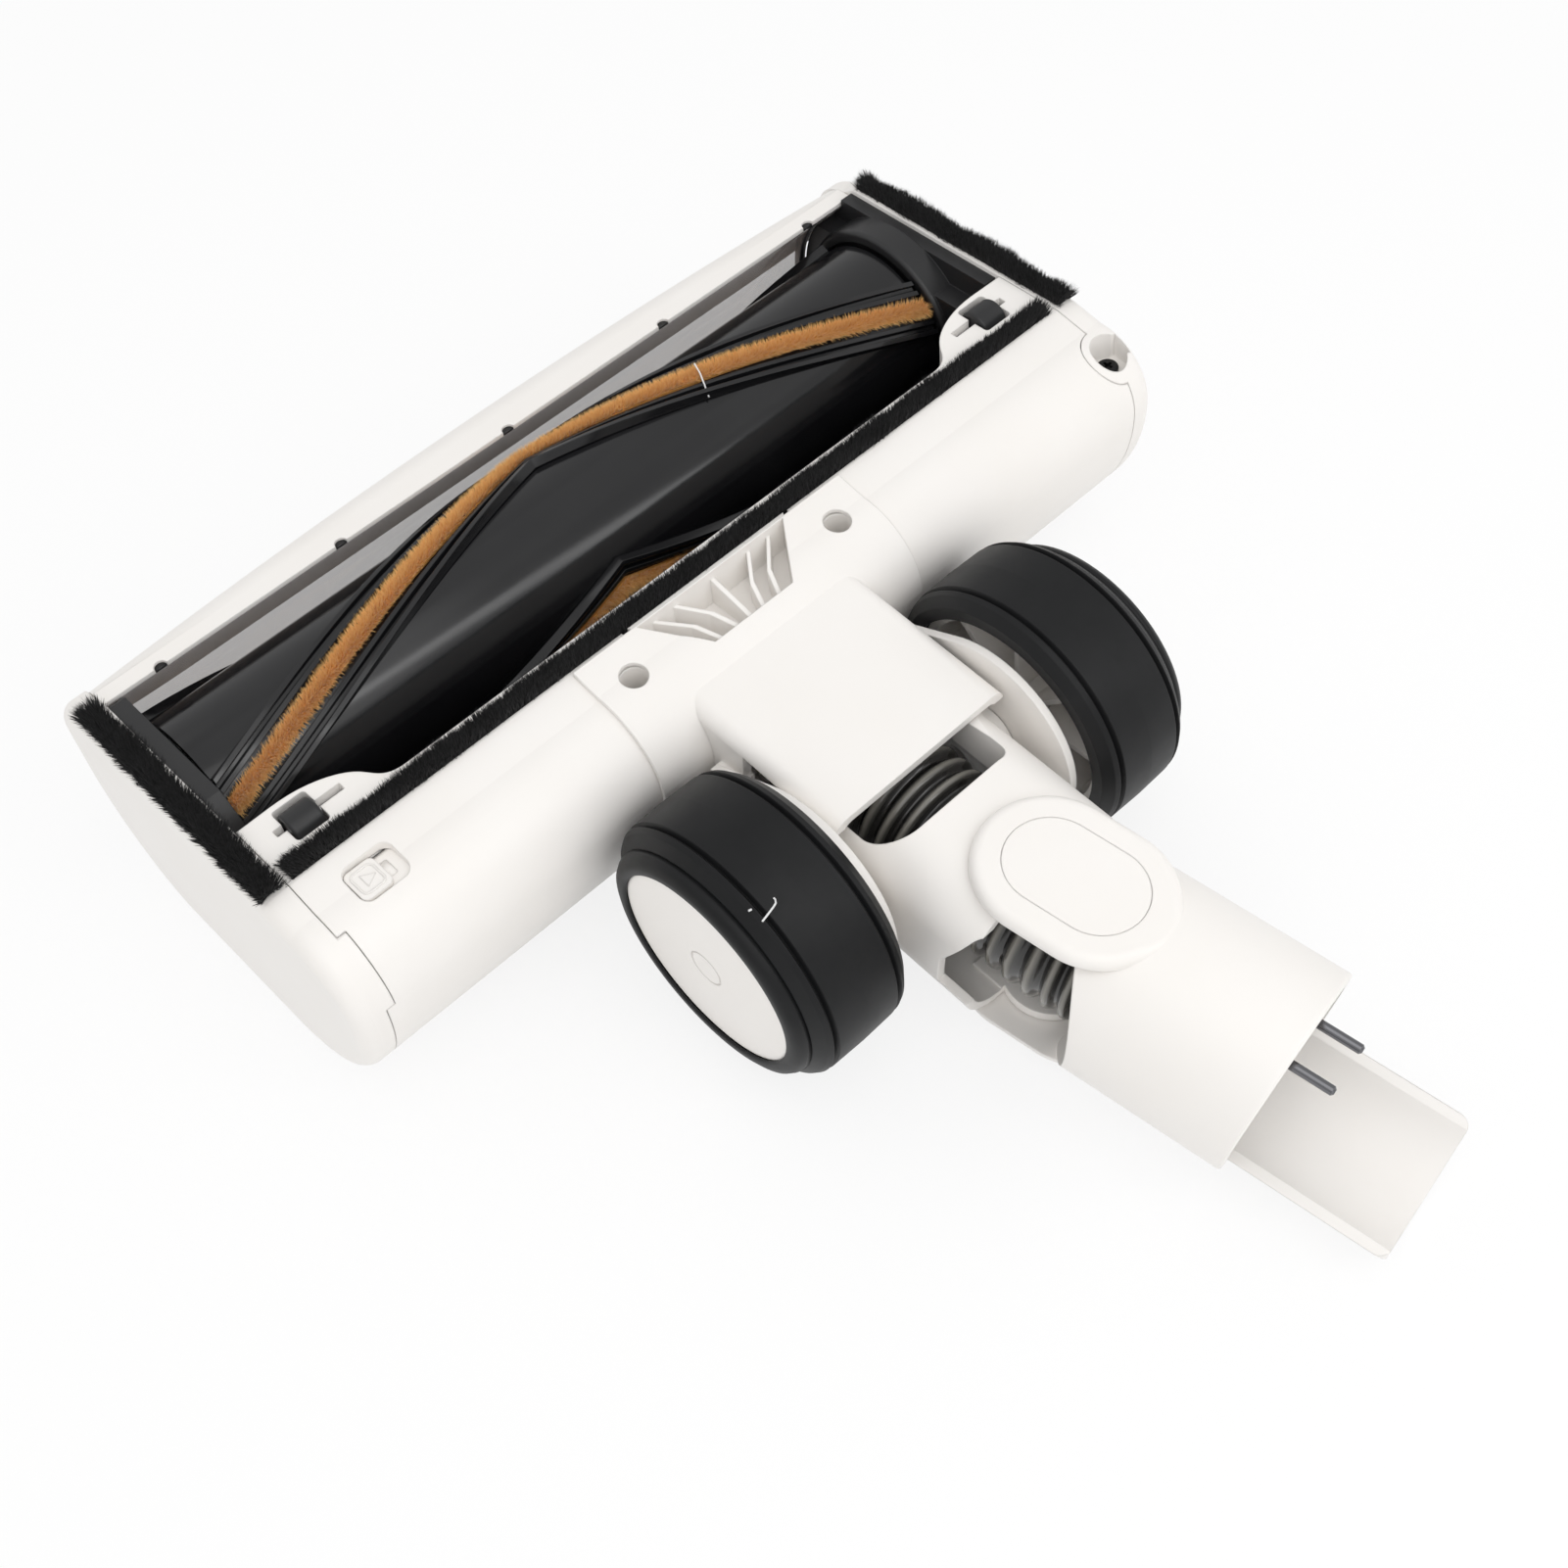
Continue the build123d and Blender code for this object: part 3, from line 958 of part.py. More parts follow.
def wheel_hub_blank(side):
    """Rim, web, ribs and bored boss of a wheel."""
    rim_in = side * (TYRE_IN_X + TYRE_COVER)
    rim_out = side * (TYRE_OUT_X - 0.8)
    web_x = side * (TYRE_OUT_X - 9)
    boss_in = side * (cheek_out + 0.6)
    with BuildPart() as hub:
        extrude(disc_x(rim_in, AXLE_Y, AXLE_Z, seat_r), amount=rim_out - rim_in)
        extrude(disc_x(rim_in, AXLE_Y, AXLE_Z, seat_r - 2.2), amount=rim_out - rim_in, mode=Mode.SUBTRACT)
        extrude(disc_x(web_x, AXLE_Y, AXLE_Z, seat_r - 1), amount=side * 2)
        with BuildSketch(Plane.YZ.offset(rim_in + side * 2)):
            with Locations((AXLE_Y, AXLE_Z)):
                with PolarLocations((seat_r + 5) / 2 - 1, HUB_RIBS):
                    Rectangle(seat_r - 6, 1.4)
        extrude(amount=web_x - rim_in - side * 2)
        extrude(disc_x(boss_in, AXLE_Y, AXLE_Z, 6), amount=side * (TYRE_OUT_X - 4) - boss_in)
        extrude(disc_x(boss_in, AXLE_Y, AXLE_Z, AXLE_R + RUN), amount=side * TYRE_OUT_X - boss_in,
                mode=Mode.SUBTRACT)
    return hub.part


with BuildPart() as left_wheel_hub:
    add(wheel_hub_blank(-1))
save(left_wheel_hub, "left_wheel_hub")

with BuildPart() as right_wheel_hub:
    add(wheel_hub_blank(1))
save(right_wheel_hub, "right_wheel_hub")


def hub_cap_blank(side):
    """Shallow domed cap that closes the outer side of a wheel."""
    seat = side * (TYRE_OUT_X - 0.8)
    with BuildPart() as cap:
        extrude(disc_x(seat, AXLE_Y, AXLE_Z, hub_cap_r), amount=side * HUB_CAP_X - seat)
        fillet(cap.faces().sort_by(Axis.X)[-1 if side > 0 else 0].edges(), radius=1.6)
        extrude(disc_x(seat, AXLE_Y, AXLE_Z, hub_cap_r - 3), amount=side * (HUB_CAP_X - 1.6) - seat,
                mode=Mode.SUBTRACT)
        with BuildSketch(Plane.YZ.offset(side * HUB_CAP_X)):
            with Locations((AXLE_Y, AXLE_Z)):
                Circle(CAP_RING_R)
                Circle(CAP_RING_R - 0.4, mode=Mode.SUBTRACT)
        extrude(amount=-side * 0.3, mode=Mode.SUBTRACT)
    return cap.part


with BuildPart() as left_hub_cap:
    add(hub_cap_blank(-1))
save(left_hub_cap, "left_hub_cap")

with BuildPart() as right_hub_cap:
    add(hub_cap_blank(1))
save(right_hub_cap, "right_hub_cap")

with BuildPart() as wheel_axles:
    for side in (-1, 1):
        extrude(disc_x(side * AXLE_IN_X, AXLE_Y, AXLE_Z, AXLE_R),
                amount=side * (TYRE_OUT_X - 1.5 - AXLE_IN_X))
        extrude(disc_x(side * (TYRE_OUT_X - 3.4), AXLE_Y, AXLE_Z, AXLE_R + 2), amount=side * 1.2)
save(wheel_axles, "wheel_axles")

# Neck knuckle: rounded square tube on the axles, open above the hose and at its sides, an ear above and below
def neck_side():
    """Side view of the neck: round about the axles, then level."""
    with BuildSketch(Plane.YZ) as face:
        with BuildSketch(mode=Mode.PRIVATE) as parts:
            with Locations((AXLE_Y, AXLE_Z)):
                Circle(KNUCKLE_R)
            with Locations((NECK_FRONT_Y, AXLE_Z)):
                Rectangle(NECK_FRONT_Y - PIVOT_Y + EAR_HALF, 2 * NECK_HALF_Z, align=(Align.MAX, Align.CENTER))
        make_hull(parts.sketch.edges())
    return face.sketch


def neck_section(y, inset):
    """Rounded square across the neck at y, facing the rear."""
    with BuildSketch(Plane.XZ.offset(-y)) as face:
        with Locations((0, AXLE_Z)):
            RectangleRounded(2 * (NECK_HALF_X - inset), 2 * (NECK_HALF_Z - inset), NECK_ROUND - inset)
    return face.sketch


def neck_disc(y, radius):
    """Round face across the neck at y, facing the rear."""
    with BuildSketch(Plane.XZ.offset(-y)) as face:
        with Locations((0, AXLE_Z)):
            Circle(radius)
    return face.sketch


def window_plan():
    """Opening over the hose, seen from above, with one wide and one tight corner."""
    front = AXLE_Y + 2 * KNUCKLE_R
    with BuildSketch(Plane.XY.offset(AXLE_Z - FAR / 2)) as face:
        with BuildLine():
            Polyline((WINDOW_LEFT_X, front), (WINDOW_LEFT_X, NECK_FRONT_Y), (WINDOW_RIGHT_X, NECK_FRONT_Y),
                     (WINDOW_RIGHT_X, front), close=True)
        make_face()
        fillet(face.vertices().group_by(Axis.X)[-1].sort_by(Axis.Y)[0], radius=WINDOW_RIGHT_ROUND)
        fillet(face.vertices().group_by(Axis.X)[0].sort_by(Axis.Y)[0], radius=WINDOW_LEFT_ROUND)
    return face.sketch


def side_opening():
    """Opening in the neck's sides, seen from the side."""
    rear = PIVOT_Y - FAR / 4
    with BuildSketch(Plane.YZ) as face:
        with BuildLine():
            Polyline((rear, AXLE_Z + SIDE_TOP), (PIVOT_Y + PIVOT_FRONT, AXLE_Z + SIDE_TOP),
                     (SIDE_FRONT_Y, AXLE_Z + SIDE_BEND), (SIDE_FRONT_Y, AXLE_Z + SIDE_LOW),
                     (rear, AXLE_Z + SIDE_LOW), close=True)
        make_face()
        fillet(face.vertices().group_by(Axis.Y)[-1], radius=SIDE_CORNER)
    return face.sketch


with BuildPart() as neck_knuckle:
    extrude(neck_side(), amount=NECK_HALF_X, both=True)
    extrude(neck_section(AXLE_Y + FAR / 4, 0), amount=FAR, mode=Mode.INTERSECT)
    extrude(neck_section(NECK_FRONT_Y, NECK_WALL), amount=FAR, mode=Mode.SUBTRACT)
    extrude(neck_disc(AXLE_Y + 2 * KNUCKLE_R, HOSE_R + HOSE_WAY), amount=FAR / 4, mode=Mode.SUBTRACT)
    extrude(window_plan(), amount=FAR, mode=Mode.SUBTRACT)
    for height in (EAR_Z, -EAR_Z - EAR):
        with BuildSketch(Plane.XY.offset(AXLE_Z + height)):
            with Locations((0, PIVOT_Y - EAR_HALF)):
                Rectangle(2 * EAR_HALF, SIDE_FRONT_Y - PIVOT_Y + EAR_HALF, align=(Align.CENTER, Align.MIN))
        extrude(amount=EAR)
    extrude(side_opening(), amount=FAR / 2, both=True, mode=Mode.SUBTRACT)
    with BuildSketch(Plane.XY.offset(AXLE_Z - FAR / 2)):
        with Locations((0, PIVOT_Y + PIVOT_FRONT)):
            Rectangle(FAR, FAR, align=(Align.CENTER, Align.MAX))
        with Locations((0, PIVOT_Y)):
            Circle(EAR_HALF, mode=Mode.SUBTRACT)
    extrude(amount=FAR, mode=Mode.SUBTRACT)
    with Locations((0, PIVOT_Y, AXLE_Z)):
        Cylinder(PIVOT_PIN_R + RUN, FAR, mode=Mode.SUBTRACT)
    for side in (-1, 1):
        extrude(disc_x(side * (NECK_HALF_X - 1), AXLE_Y, AXLE_Z, KNUCKLE_BOSS_R),
                amount=side * (CHEEK_IN_X - GAP - NECK_HALF_X + 1))
    extrude(disc_x(-cheek_out, AXLE_Y, AXLE_Z, AXLE_R + RUN), amount=2 * cheek_out, mode=Mode.SUBTRACT)
save(neck_knuckle, "neck_knuckle", NECK_TILT)


# Corrugated hose from the suction duct to the wand socket, bent at the axles
def hose_run(start_y, rings):
    """Straight length of hose of a number of rings, from start_y to the rear."""
    trough = HOSE_R - HOSE_GROOVE
    end_y = start_y - rings * HOSE_PITCH
    line = []
    for ring in range(rings):
        y = start_y - ring * HOSE_PITCH
        line += [(trough, y), (trough, y - 0.25 * HOSE_PITCH), (HOSE_R, y - 0.45 * HOSE_PITCH),
                 (HOSE_R, y - 0.8 * HOSE_PITCH)]
    line += [(trough, end_y), (trough - HOSE_WALL, end_y), (trough - HOSE_WALL, start_y)]
    with BuildPart() as run:
        with BuildSketch(Plane.XY.offset(AXLE_Z)):
            with BuildLine():
                Polyline(*line, close=True)
            make_face()
        revolve(axis=Axis((0, 0, AXLE_Z), (0, 1, 0)))
    return run.part


def hose_ring(y):
    """Cut through the plain part of the hose at y."""
    with BuildSketch(Plane.XZ.offset(-y)) as face:
        with Locations((0, AXLE_Z)):
            Circle(HOSE_R - HOSE_GROOVE)
            Circle(HOSE_R - HOSE_GROOVE - HOSE_WALL, mode=Mode.SUBTRACT)
    return face.sketch


with BuildPart() as flex_hose:
    add(hose_run(hose_front_y, HOSE_FRONT_RINGS))
    bend_axis = Axis((0, AXLE_Y + bend_start, AXLE_Z - HOSE_BEND), (1, 0, 0))
    revolve(hose_ring(AXLE_Y + bend_start), axis=bend_axis, revolution_arc=NECK_TILT)
    add(hose_run(AXLE_Y - bend_start, HOSE_REAR_RINGS).rotate(wheel_axis(), NECK_TILT))
save(flex_hose, "flex_hose")

# Wand socket: sleeve, oval plates over the ears, trough-shaped tongue
def tongue_blank():
    """Trough that guides the wand, from inside the sleeve to its rounded end."""
    outer = SLEEVE_BORE_R + 0.4
    with BuildPart() as tongue:
        with BuildSketch(wand_plane(SLEEVE_END - TONGUE_ROOT)):
            Circle(outer)
            Circle(SLEEVE_BORE_R - TONGUE_WALL, mode=Mode.SUBTRACT)
            with Locations((0, -TONGUE_DROP)):
                Rectangle(FAR, FAR, align=(Align.CENTER, Align.MIN), mode=Mode.SUBTRACT)
        extrude(amount=TONGUE_END - SLEEVE_END + TONGUE_ROOT)
        with BuildSketch(wand_level(-FAR / 2)):
            RectangleRounded(2 * sqrt(outer ** 2 - TONGUE_DROP ** 2), 2 * TONGUE_END, TONGUE_CORNER)
        extrude(amount=FAR, mode=Mode.INTERSECT)
    return tongue.part


with BuildPart() as wand_socket:
    with BuildSketch(wand_plane(SLEEVE_START)):
        Circle(SLEEVE_R)
    extrude(amount=SLEEVE_END - SLEEVE_START + SLEEVE_R)
    with BuildSketch(wand_plane(SLEEVE_END).rotated((SLEEVE_SLANT, 0, 0))):
        Rectangle(FAR, FAR)
    extrude(amount=FAR, mode=Mode.SUBTRACT)
    fillet(wand_socket.faces().sort_by(Axis.Y)[0].edges(), radius=SLEEVE_EDGE)
    bite = SLEEVE_START + SLEEVE_BITE - SLEEVE_BITE_R
    with BuildSketch(Plane(wand_plane(bite).origin, x_dir=(0, 0, 1), z_dir=wand_plane(bite).x_dir)):
        Circle(SLEEVE_BITE_R)
    extrude(amount=FAR / 2, both=True, mode=Mode.SUBTRACT)
    extrude(oval(fork_z, OVAL_LENGTH, OVAL_WIDTH), amount=FORK)
    extrude(oval(-fork_z - FORK, OVAL_LENGTH, OVAL_WIDTH), amount=FORK)
    oval_faces = wand_socket.faces().filter_by(Axis.Z)
    fillet(oval_faces.sort_by(Axis.Z)[-1].edges() + oval_faces.sort_by(Axis.Z)[0].edges(), radius=OVAL_EDGE)
    with BuildSketch(wand_plane(SLEEVE_START)):
        Circle(SLEEVE_BORE_R)
    extrude(amount=FAR, mode=Mode.SUBTRACT)
    add(tongue_blank())
    for side in (-1, 1):
        seat_z = side * (fork_z + FORK - COVER_DEPTH)
        extrude(oval(seat_z, COVER_LENGTH + GAP, COVER_WIDTH + GAP), amount=side * FAR, mode=Mode.SUBTRACT)
    with Locations((0, PIVOT_Y, AXLE_Z)):
        Cylinder(PIVOT_PIN_R, FAR, mode=Mode.SUBTRACT)
save(wand_socket, "wand_socket", NECK_TILT)

with BuildPart() as upper_pivot_cover:
    extrude(oval(fork_z + FORK - COVER_DEPTH, COVER_LENGTH, COVER_WIDTH), amount=COVER_DEPTH)
save(upper_pivot_cover, "upper_pivot_cover", NECK_TILT)

with BuildPart() as lower_pivot_cover:
    extrude(oval(-fork_z - FORK, COVER_LENGTH, COVER_WIDTH), amount=COVER_DEPTH)
save(lower_pivot_cover, "lower_pivot_cover", NECK_TILT)

with BuildPart() as swing_pins:
    pin_length = EAR + FORK_GAP + FORK - COVER_DEPTH - GAP
    with Locations((0, PIVOT_Y, AXLE_Z + EAR_Z + GAP)):
        Cylinder(PIVOT_PIN_R, pin_length, align=(Align.CENTER, Align.CENTER, Align.MIN))
    with Locations((0, PIVOT_Y, AXLE_Z - EAR_Z - GAP)):
        Cylinder(PIVOT_PIN_R, pin_length, align=(Align.CENTER, Align.CENTER, Align.MAX))
save(swing_pins, "swing_pins", NECK_TILT)

with BuildPart() as contact_block:
    with BuildSketch(wand_plane(block_start)):
        with Locations((0, PRONG_Z)):
            Rectangle(4 * PRONG_X, 16)
        Circle(SLEEVE_BORE_R, mode=Mode.INTERSECT)
        with Locations((0, PRONG_Z - 4)):
            Rectangle(FAR, FAR, align=(Align.CENTER, Align.MAX), mode=Mode.SUBTRACT)
    extrude(amount=BLOCK_LENGTH)
    with BuildSketch(wand_plane(block_start)):
        with Locations((PRONG_X, PRONG_Z), (-PRONG_X, PRONG_Z)):
            Circle(PRONG_ROOT_R)
    extrude(amount=BLOCK_LENGTH, mode=Mode.SUBTRACT)
save(contact_block, "contact_block", NECK_TILT)

with BuildPart() as contact_prongs:
    with BuildSketch(wand_plane(block_start)):
        with Locations((PRONG_X, PRONG_Z), (-PRONG_X, PRONG_Z)):
            Circle(PRONG_ROOT_R)
    extrude(amount=BLOCK_LENGTH)
    with BuildSketch(wand_plane(block_start + BLOCK_LENGTH)):
        with Locations((PRONG_X, PRONG_Z), (-PRONG_X, PRONG_Z)):
            Circle(PRONG_R)
    extrude(amount=PRONG_TIP - block_start - BLOCK_LENGTH)
    tips = contact_prongs.faces().filter_by(GeomType.PLANE).sort_by(Axis.Y)[:2]
    chamfer(tips.edges(), 0.5)
save(contact_prongs, "contact_prongs", NECK_TILT)
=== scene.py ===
import json
import random
from math import cos, pi, radians, sin

import bmesh
import bpy
from mathutils import Matrix, Vector


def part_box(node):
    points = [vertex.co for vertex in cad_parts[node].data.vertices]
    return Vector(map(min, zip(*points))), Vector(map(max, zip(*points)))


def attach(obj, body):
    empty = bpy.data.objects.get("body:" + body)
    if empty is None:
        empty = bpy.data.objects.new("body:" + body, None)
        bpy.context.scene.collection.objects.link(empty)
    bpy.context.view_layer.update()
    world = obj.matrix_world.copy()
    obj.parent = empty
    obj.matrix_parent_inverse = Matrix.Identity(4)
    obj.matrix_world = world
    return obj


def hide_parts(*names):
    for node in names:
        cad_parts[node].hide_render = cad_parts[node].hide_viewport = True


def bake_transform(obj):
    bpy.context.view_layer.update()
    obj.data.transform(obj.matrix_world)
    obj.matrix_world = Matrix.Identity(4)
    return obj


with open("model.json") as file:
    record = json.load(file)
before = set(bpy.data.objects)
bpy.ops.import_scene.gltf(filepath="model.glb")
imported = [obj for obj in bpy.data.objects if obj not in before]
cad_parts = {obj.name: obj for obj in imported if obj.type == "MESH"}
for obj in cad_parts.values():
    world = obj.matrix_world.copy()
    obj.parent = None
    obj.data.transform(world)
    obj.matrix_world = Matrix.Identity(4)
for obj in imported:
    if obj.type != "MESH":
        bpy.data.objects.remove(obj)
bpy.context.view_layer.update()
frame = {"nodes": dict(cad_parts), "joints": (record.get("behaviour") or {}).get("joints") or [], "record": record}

random.seed(7)

# Camera, as solved from the photograph
CAMERA_PLACE = (-0.1855, -0.3076, 0.4026)
CAMERA_AZIMUTH = -37.784
CAMERA_ELEVATION = 53.027
CAMERA_ROLL = -7.410
CAMERA_SENSOR = 36  # mm
CAMERA_LENS = 47.73  # mm on that sensor

# Roller strips, as built: degrees from +Y towards +Z at mid-length, and the turn from there to each end
CORE_R = 0.022
STRIP_COUNT = 3
STRIP_APEX = 53.0
STRIP_TWIST = 87.0

# Hose: its radius and length as built, its ridges as fine as the photograph shows them
HOSE_R = 0.0155
HOSE_PITCH = 0.0042
HOSE_GROOVE = 0.0017
HOSE_LENGTH = 0.1012
NECK_TILT = radians(5.0)
WAND_SWING = radians(8.6)


def joint(name):
    """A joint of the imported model, by its name."""
    return next(j for j in frame["joints"] if j["name"] == name)


# Materials
def material(name, colour, roughness, metallic=0.0, **sockets):
    """A named principled material with its plain values set on the shader's own sockets."""
    made = bpy.data.materials.new(name)
    made.use_nodes = True
    shader = made.node_tree.nodes["Principled BSDF"]
    shader.inputs["Base Color"].default_value = (*colour, 1)
    shader.inputs["Roughness"].default_value = roughness
    shader.inputs["Metallic"].default_value = metallic
    for socket, value in sockets.items():
        shader.inputs[socket.replace("_", " ")].default_value = value
    return made


def add_node(made, kind, **values):
    """A new shader node with some of its sockets or settings filled in."""
    node = made.node_tree.nodes.new(kind)
    for key, value in values.items():
        if key in node.inputs:
            node.inputs[key].default_value = value
        else:
            setattr(node, key, value)
    return node


def noise_of(made, scale, detail=4.0, roughness=0.55):
    """Noise in object space; scale is in cycles per metre."""
    where = add_node(made, "ShaderNodeTexCoord")
    grain = add_node(made, "ShaderNodeTexNoise", Scale=scale, Detail=detail, Roughness=roughness)
    made.node_tree.links.new(where.outputs["Object"], grain.inputs["Vector"])
    return grain


def vary_colour(made, scale, low, high):
    """Base colour that drifts between two colours over the surface."""
    grain = noise_of(made, scale)
    ramp = add_node(made, "ShaderNodeValToRGB")
    ramp.color_ramp.elements[0].position = 0.3
    ramp.color_ramp.elements[1].position = 0.7
    ramp.color_ramp.elements[0].color = (*low, 1)
    ramp.color_ramp.elements[1].color = (*high, 1)
    shader = made.node_tree.nodes["Principled BSDF"]
    made.node_tree.links.new(grain.outputs["Fac"], ramp.inputs["Fac"])
    made.node_tree.links.new(ramp.outputs["Color"], shader.inputs["Base Color"])


def vary_roughness(made, scale, low, high):
    """Roughness that drifts between two values over the surface."""
    grain = noise_of(made, scale)
    span = add_node(made, "ShaderNodeMapRange")
    span.inputs["To Min"].default_value = low
    span.inputs["To Max"].default_value = high
    shader = made.node_tree.nodes["Principled BSDF"]
    made.node_tree.links.new(grain.outputs["Fac"], span.inputs["Value"])
    made.node_tree.links.new(span.outputs["Result"], shader.inputs["Roughness"])


def add_grain(made, scale, height, edge=0.0):
    """Fine moulded grain of a given height in metres, on edges softened by a small bevel."""
    grain = noise_of(made, scale, detail=2.0)
    bump = add_node(made, "ShaderNodeBump", Strength=1.0, Distance=height)
    shader = made.node_tree.nodes["Principled BSDF"]
    made.node_tree.links.new(grain.outputs["Fac"], bump.inputs["Height"])
    if edge:
        bevel = add_node(made, "ShaderNodeBevel", samples=6, Radius=edge)
        made.node_tree.links.new(bevel.outputs["Normal"], bump.inputs["Normal"])
    made.node_tree.links.new(bump.outputs["Normal"], shader.inputs["Normal"])


def colour_from_tone_and_light(made):
    """Colour from the tone and light painted on each point of a piece: fibre tone with painted shade at the roots,
    hose with painted highlight and shade.
    """
    tone_and_light = add_node(made, "ShaderNodeAttribute", attribute_name="tone_and_light")
    shader = made.node_tree.nodes["Principled BSDF"]
    made.node_tree.links.new(tone_and_light.outputs["Color"], shader.inputs["Base Color"])


white_shell = material("white_shell", (0.905, 0.877, 0.843), 0.40, Coat_Weight=0.05, Coat_Roughness=0.3)
vary_colour(white_shell, 30, (0.897, 0.867, 0.830), (0.913, 0.887, 0.856))
vary_roughness(white_shell, 90, 0.36, 0.46)
add_grain(white_shell, 5200, 0.000004, edge=0.0005)

clear_window = material("clear_window", (0.52, 0.46, 0.43), 0.08, Alpha=0.42)
vary_roughness(clear_window, 60, 0.05, 0.11)

gloss_black = material("gloss_black", (0.006, 0.006, 0.007), 0.13)
vary_colour(gloss_black, 40, (0.005, 0.005, 0.006), (0.009, 0.009, 0.010))
vary_roughness(gloss_black, 35, 0.10, 0.20)
add_grain(gloss_black, 900, 0.000003, edge=0.0003)

satin_black = material("satin_black", (0.012, 0.012, 0.013), 0.42)
vary_colour(satin_black, 60, (0.010, 0.010, 0.011), (0.016, 0.016, 0.017))
vary_roughness(satin_black, 120, 0.34, 0.48)
add_grain(satin_black, 4200, 0.000008, edge=0.0004)

tread = material("tread", (0.009, 0.0093, 0.0102), 0.46, Specular_IOR_Level=0.22)
vary_colour(tread, 70, (0.007, 0.0073, 0.0080), (0.011, 0.0113, 0.0121))
vary_roughness(tread, 160, 0.40, 0.52)
add_grain(tread, 3800, 0.000010, edge=0.0004)

belt_rubber = material("belt_rubber", (0.012, 0.012, 0.012), 0.7)
vary_roughness(belt_rubber, 400, 0.6, 0.8)

smoke_hose = material("smoke_hose", (0.05, 0.047, 0.04), 0.16, Coat_Weight=0.3, Coat_Roughness=0.08)
colour_from_tone_and_light(smoke_hose)
vary_roughness(smoke_hose, 80, 0.12, 0.24)

steel = material("steel", (0.58, 0.58, 0.59), 0.28, metallic=1.0)
vary_roughness(steel, 700, 0.2, 0.36)
bright_steel = material("bright_steel", (0.17, 0.17, 0.18), 0.14, metallic=1.0)
vary_roughness(bright_steel, 900, 0.10, 0.2)
black_screw = material("black_screw", (0.02, 0.02, 0.021), 0.38, metallic=0.8)
vary_roughness(black_screw, 800, 0.3, 0.46)
motor_can = material("motor_can", (0.42, 0.42, 0.43), 0.34, metallic=1.0)
vary_roughness(motor_can, 300, 0.28, 0.42)

plush = material("plush", (0.56, 0.25, 0.06), 0.75, Sheen_Weight=0.35, Sheen_Roughness=0.4)
colour_from_tone_and_light(plush)
pile = material("pile", (0.010, 0.010, 0.010), 0.8, Sheen_Weight=0.1, Sheen_Roughness=0.4)
colour_from_tone_and_light(pile)
lint = material("lint", (0.80, 0.80, 0.80), 0.6)
vary_roughness(lint, 2000, 0.5, 0.7)

finishes = dict(
    white_shell=white_shell, clear_window=clear_window, gloss_black=gloss_black, satin_black=satin_black,
    tread=tread, belt_rubber=belt_rubber, smoke_hose=smoke_hose, steel=steel, bright_steel=bright_steel,
    black_screw=black_screw, motor_can=motor_can, plush=plush, pile=pile)
for part in frame["record"]["subparts"]:
    solid = frame["nodes"][part["node"]]
    solid.data.materials.clear()
    solid.data.materials.append(finishes[part["material_slot"]])


# Pieces
def mesh_piece(name, verts, faces, finish, smooth=True):
    """A new mesh object in the frame, in metres, with one material."""
    mesh = bpy.data.meshes.new(name)
    mesh.from_pydata(verts, [], faces)
    mesh.materials.append(finish)
    if smooth:
        mesh.shade_smooth()
    piece = bpy.data.objects.new(name, mesh)
    bpy.context.scene.collection.objects.link(piece)
    return piece


def paint_tone_and_light(piece, colours):
    """One colour for each point, kept for the fibre materials: tone with painted shade and highlight."""
    layer = piece.data.attributes.new("tone_and_light", "FLOAT_COLOR", "POINT")
    layer.data.foreach_set("color", [channel for colour in colours for channel in (*colour, 1.0)])


class Fibres:
    """Collects thin three-sided spikes and the core that they stand on, then makes one piece of them."""

    def __init__(self, dark, light):
        self.verts, self.faces, self.colours = [], [], []
        self.dark, self.light = Vector(dark), Vector(light)

    def spike(self, root, way, length, width):
        """One fibre from its root, darker there than at its tip: painted shade deep in the nap."""
        across = way.orthogonal().normalized()
        across.rotate(Matrix.Rotation(random.uniform(0, 2 * pi), 3, way))
        along = way.cross(across)
        first = len(self.verts)
        for turn in (0, 2 * pi / 3, 4 * pi / 3):
            self.verts.append(root + (across * cos(turn) + along * sin(turn)) * width / 2)
        self.verts.append(root + way * length)
        self.faces += [(first + i, first + (i + 1) % 3, first + 3) for i in range(3)]
        shade = random.random()
        root_colour = self.dark.lerp(self.light, 0.45 * shade)
        tip_colour = self.dark.lerp(self.light, 0.45 + 0.55 * shade)
        self.colours += [root_colour] * 3 + [tip_colour]

    def core(self, rings):
        """Closed bar through rings of points, all of one length."""
        first = len(self.verts)
        count = len(rings[0])
        for ring in rings:
            self.verts += ring
            # the core has the root colour all over: painted shade at the bottom of the nap
            self.colours += [self.dark.copy() for _ in ring]
        for step in range(len(rings) - 1):
            for i in range(count):
                a, b = first + step * count + i, first + step * count + (i + 1) % count
                self.faces.append((a, b, b + count, a + count))
        last = first + (len(rings) - 1) * count
        self.faces.append(tuple(range(first + count - 1, first - 1, -1)))
        self.faces.append(tuple(range(last, last + count)))

    def piece(self, name, finish):
        """All that was collected, as one object."""
        made = mesh_piece(name, self.verts, self.faces, finish, smooth=False)
        paint_tone_and_light(made, self.colours)
        return made


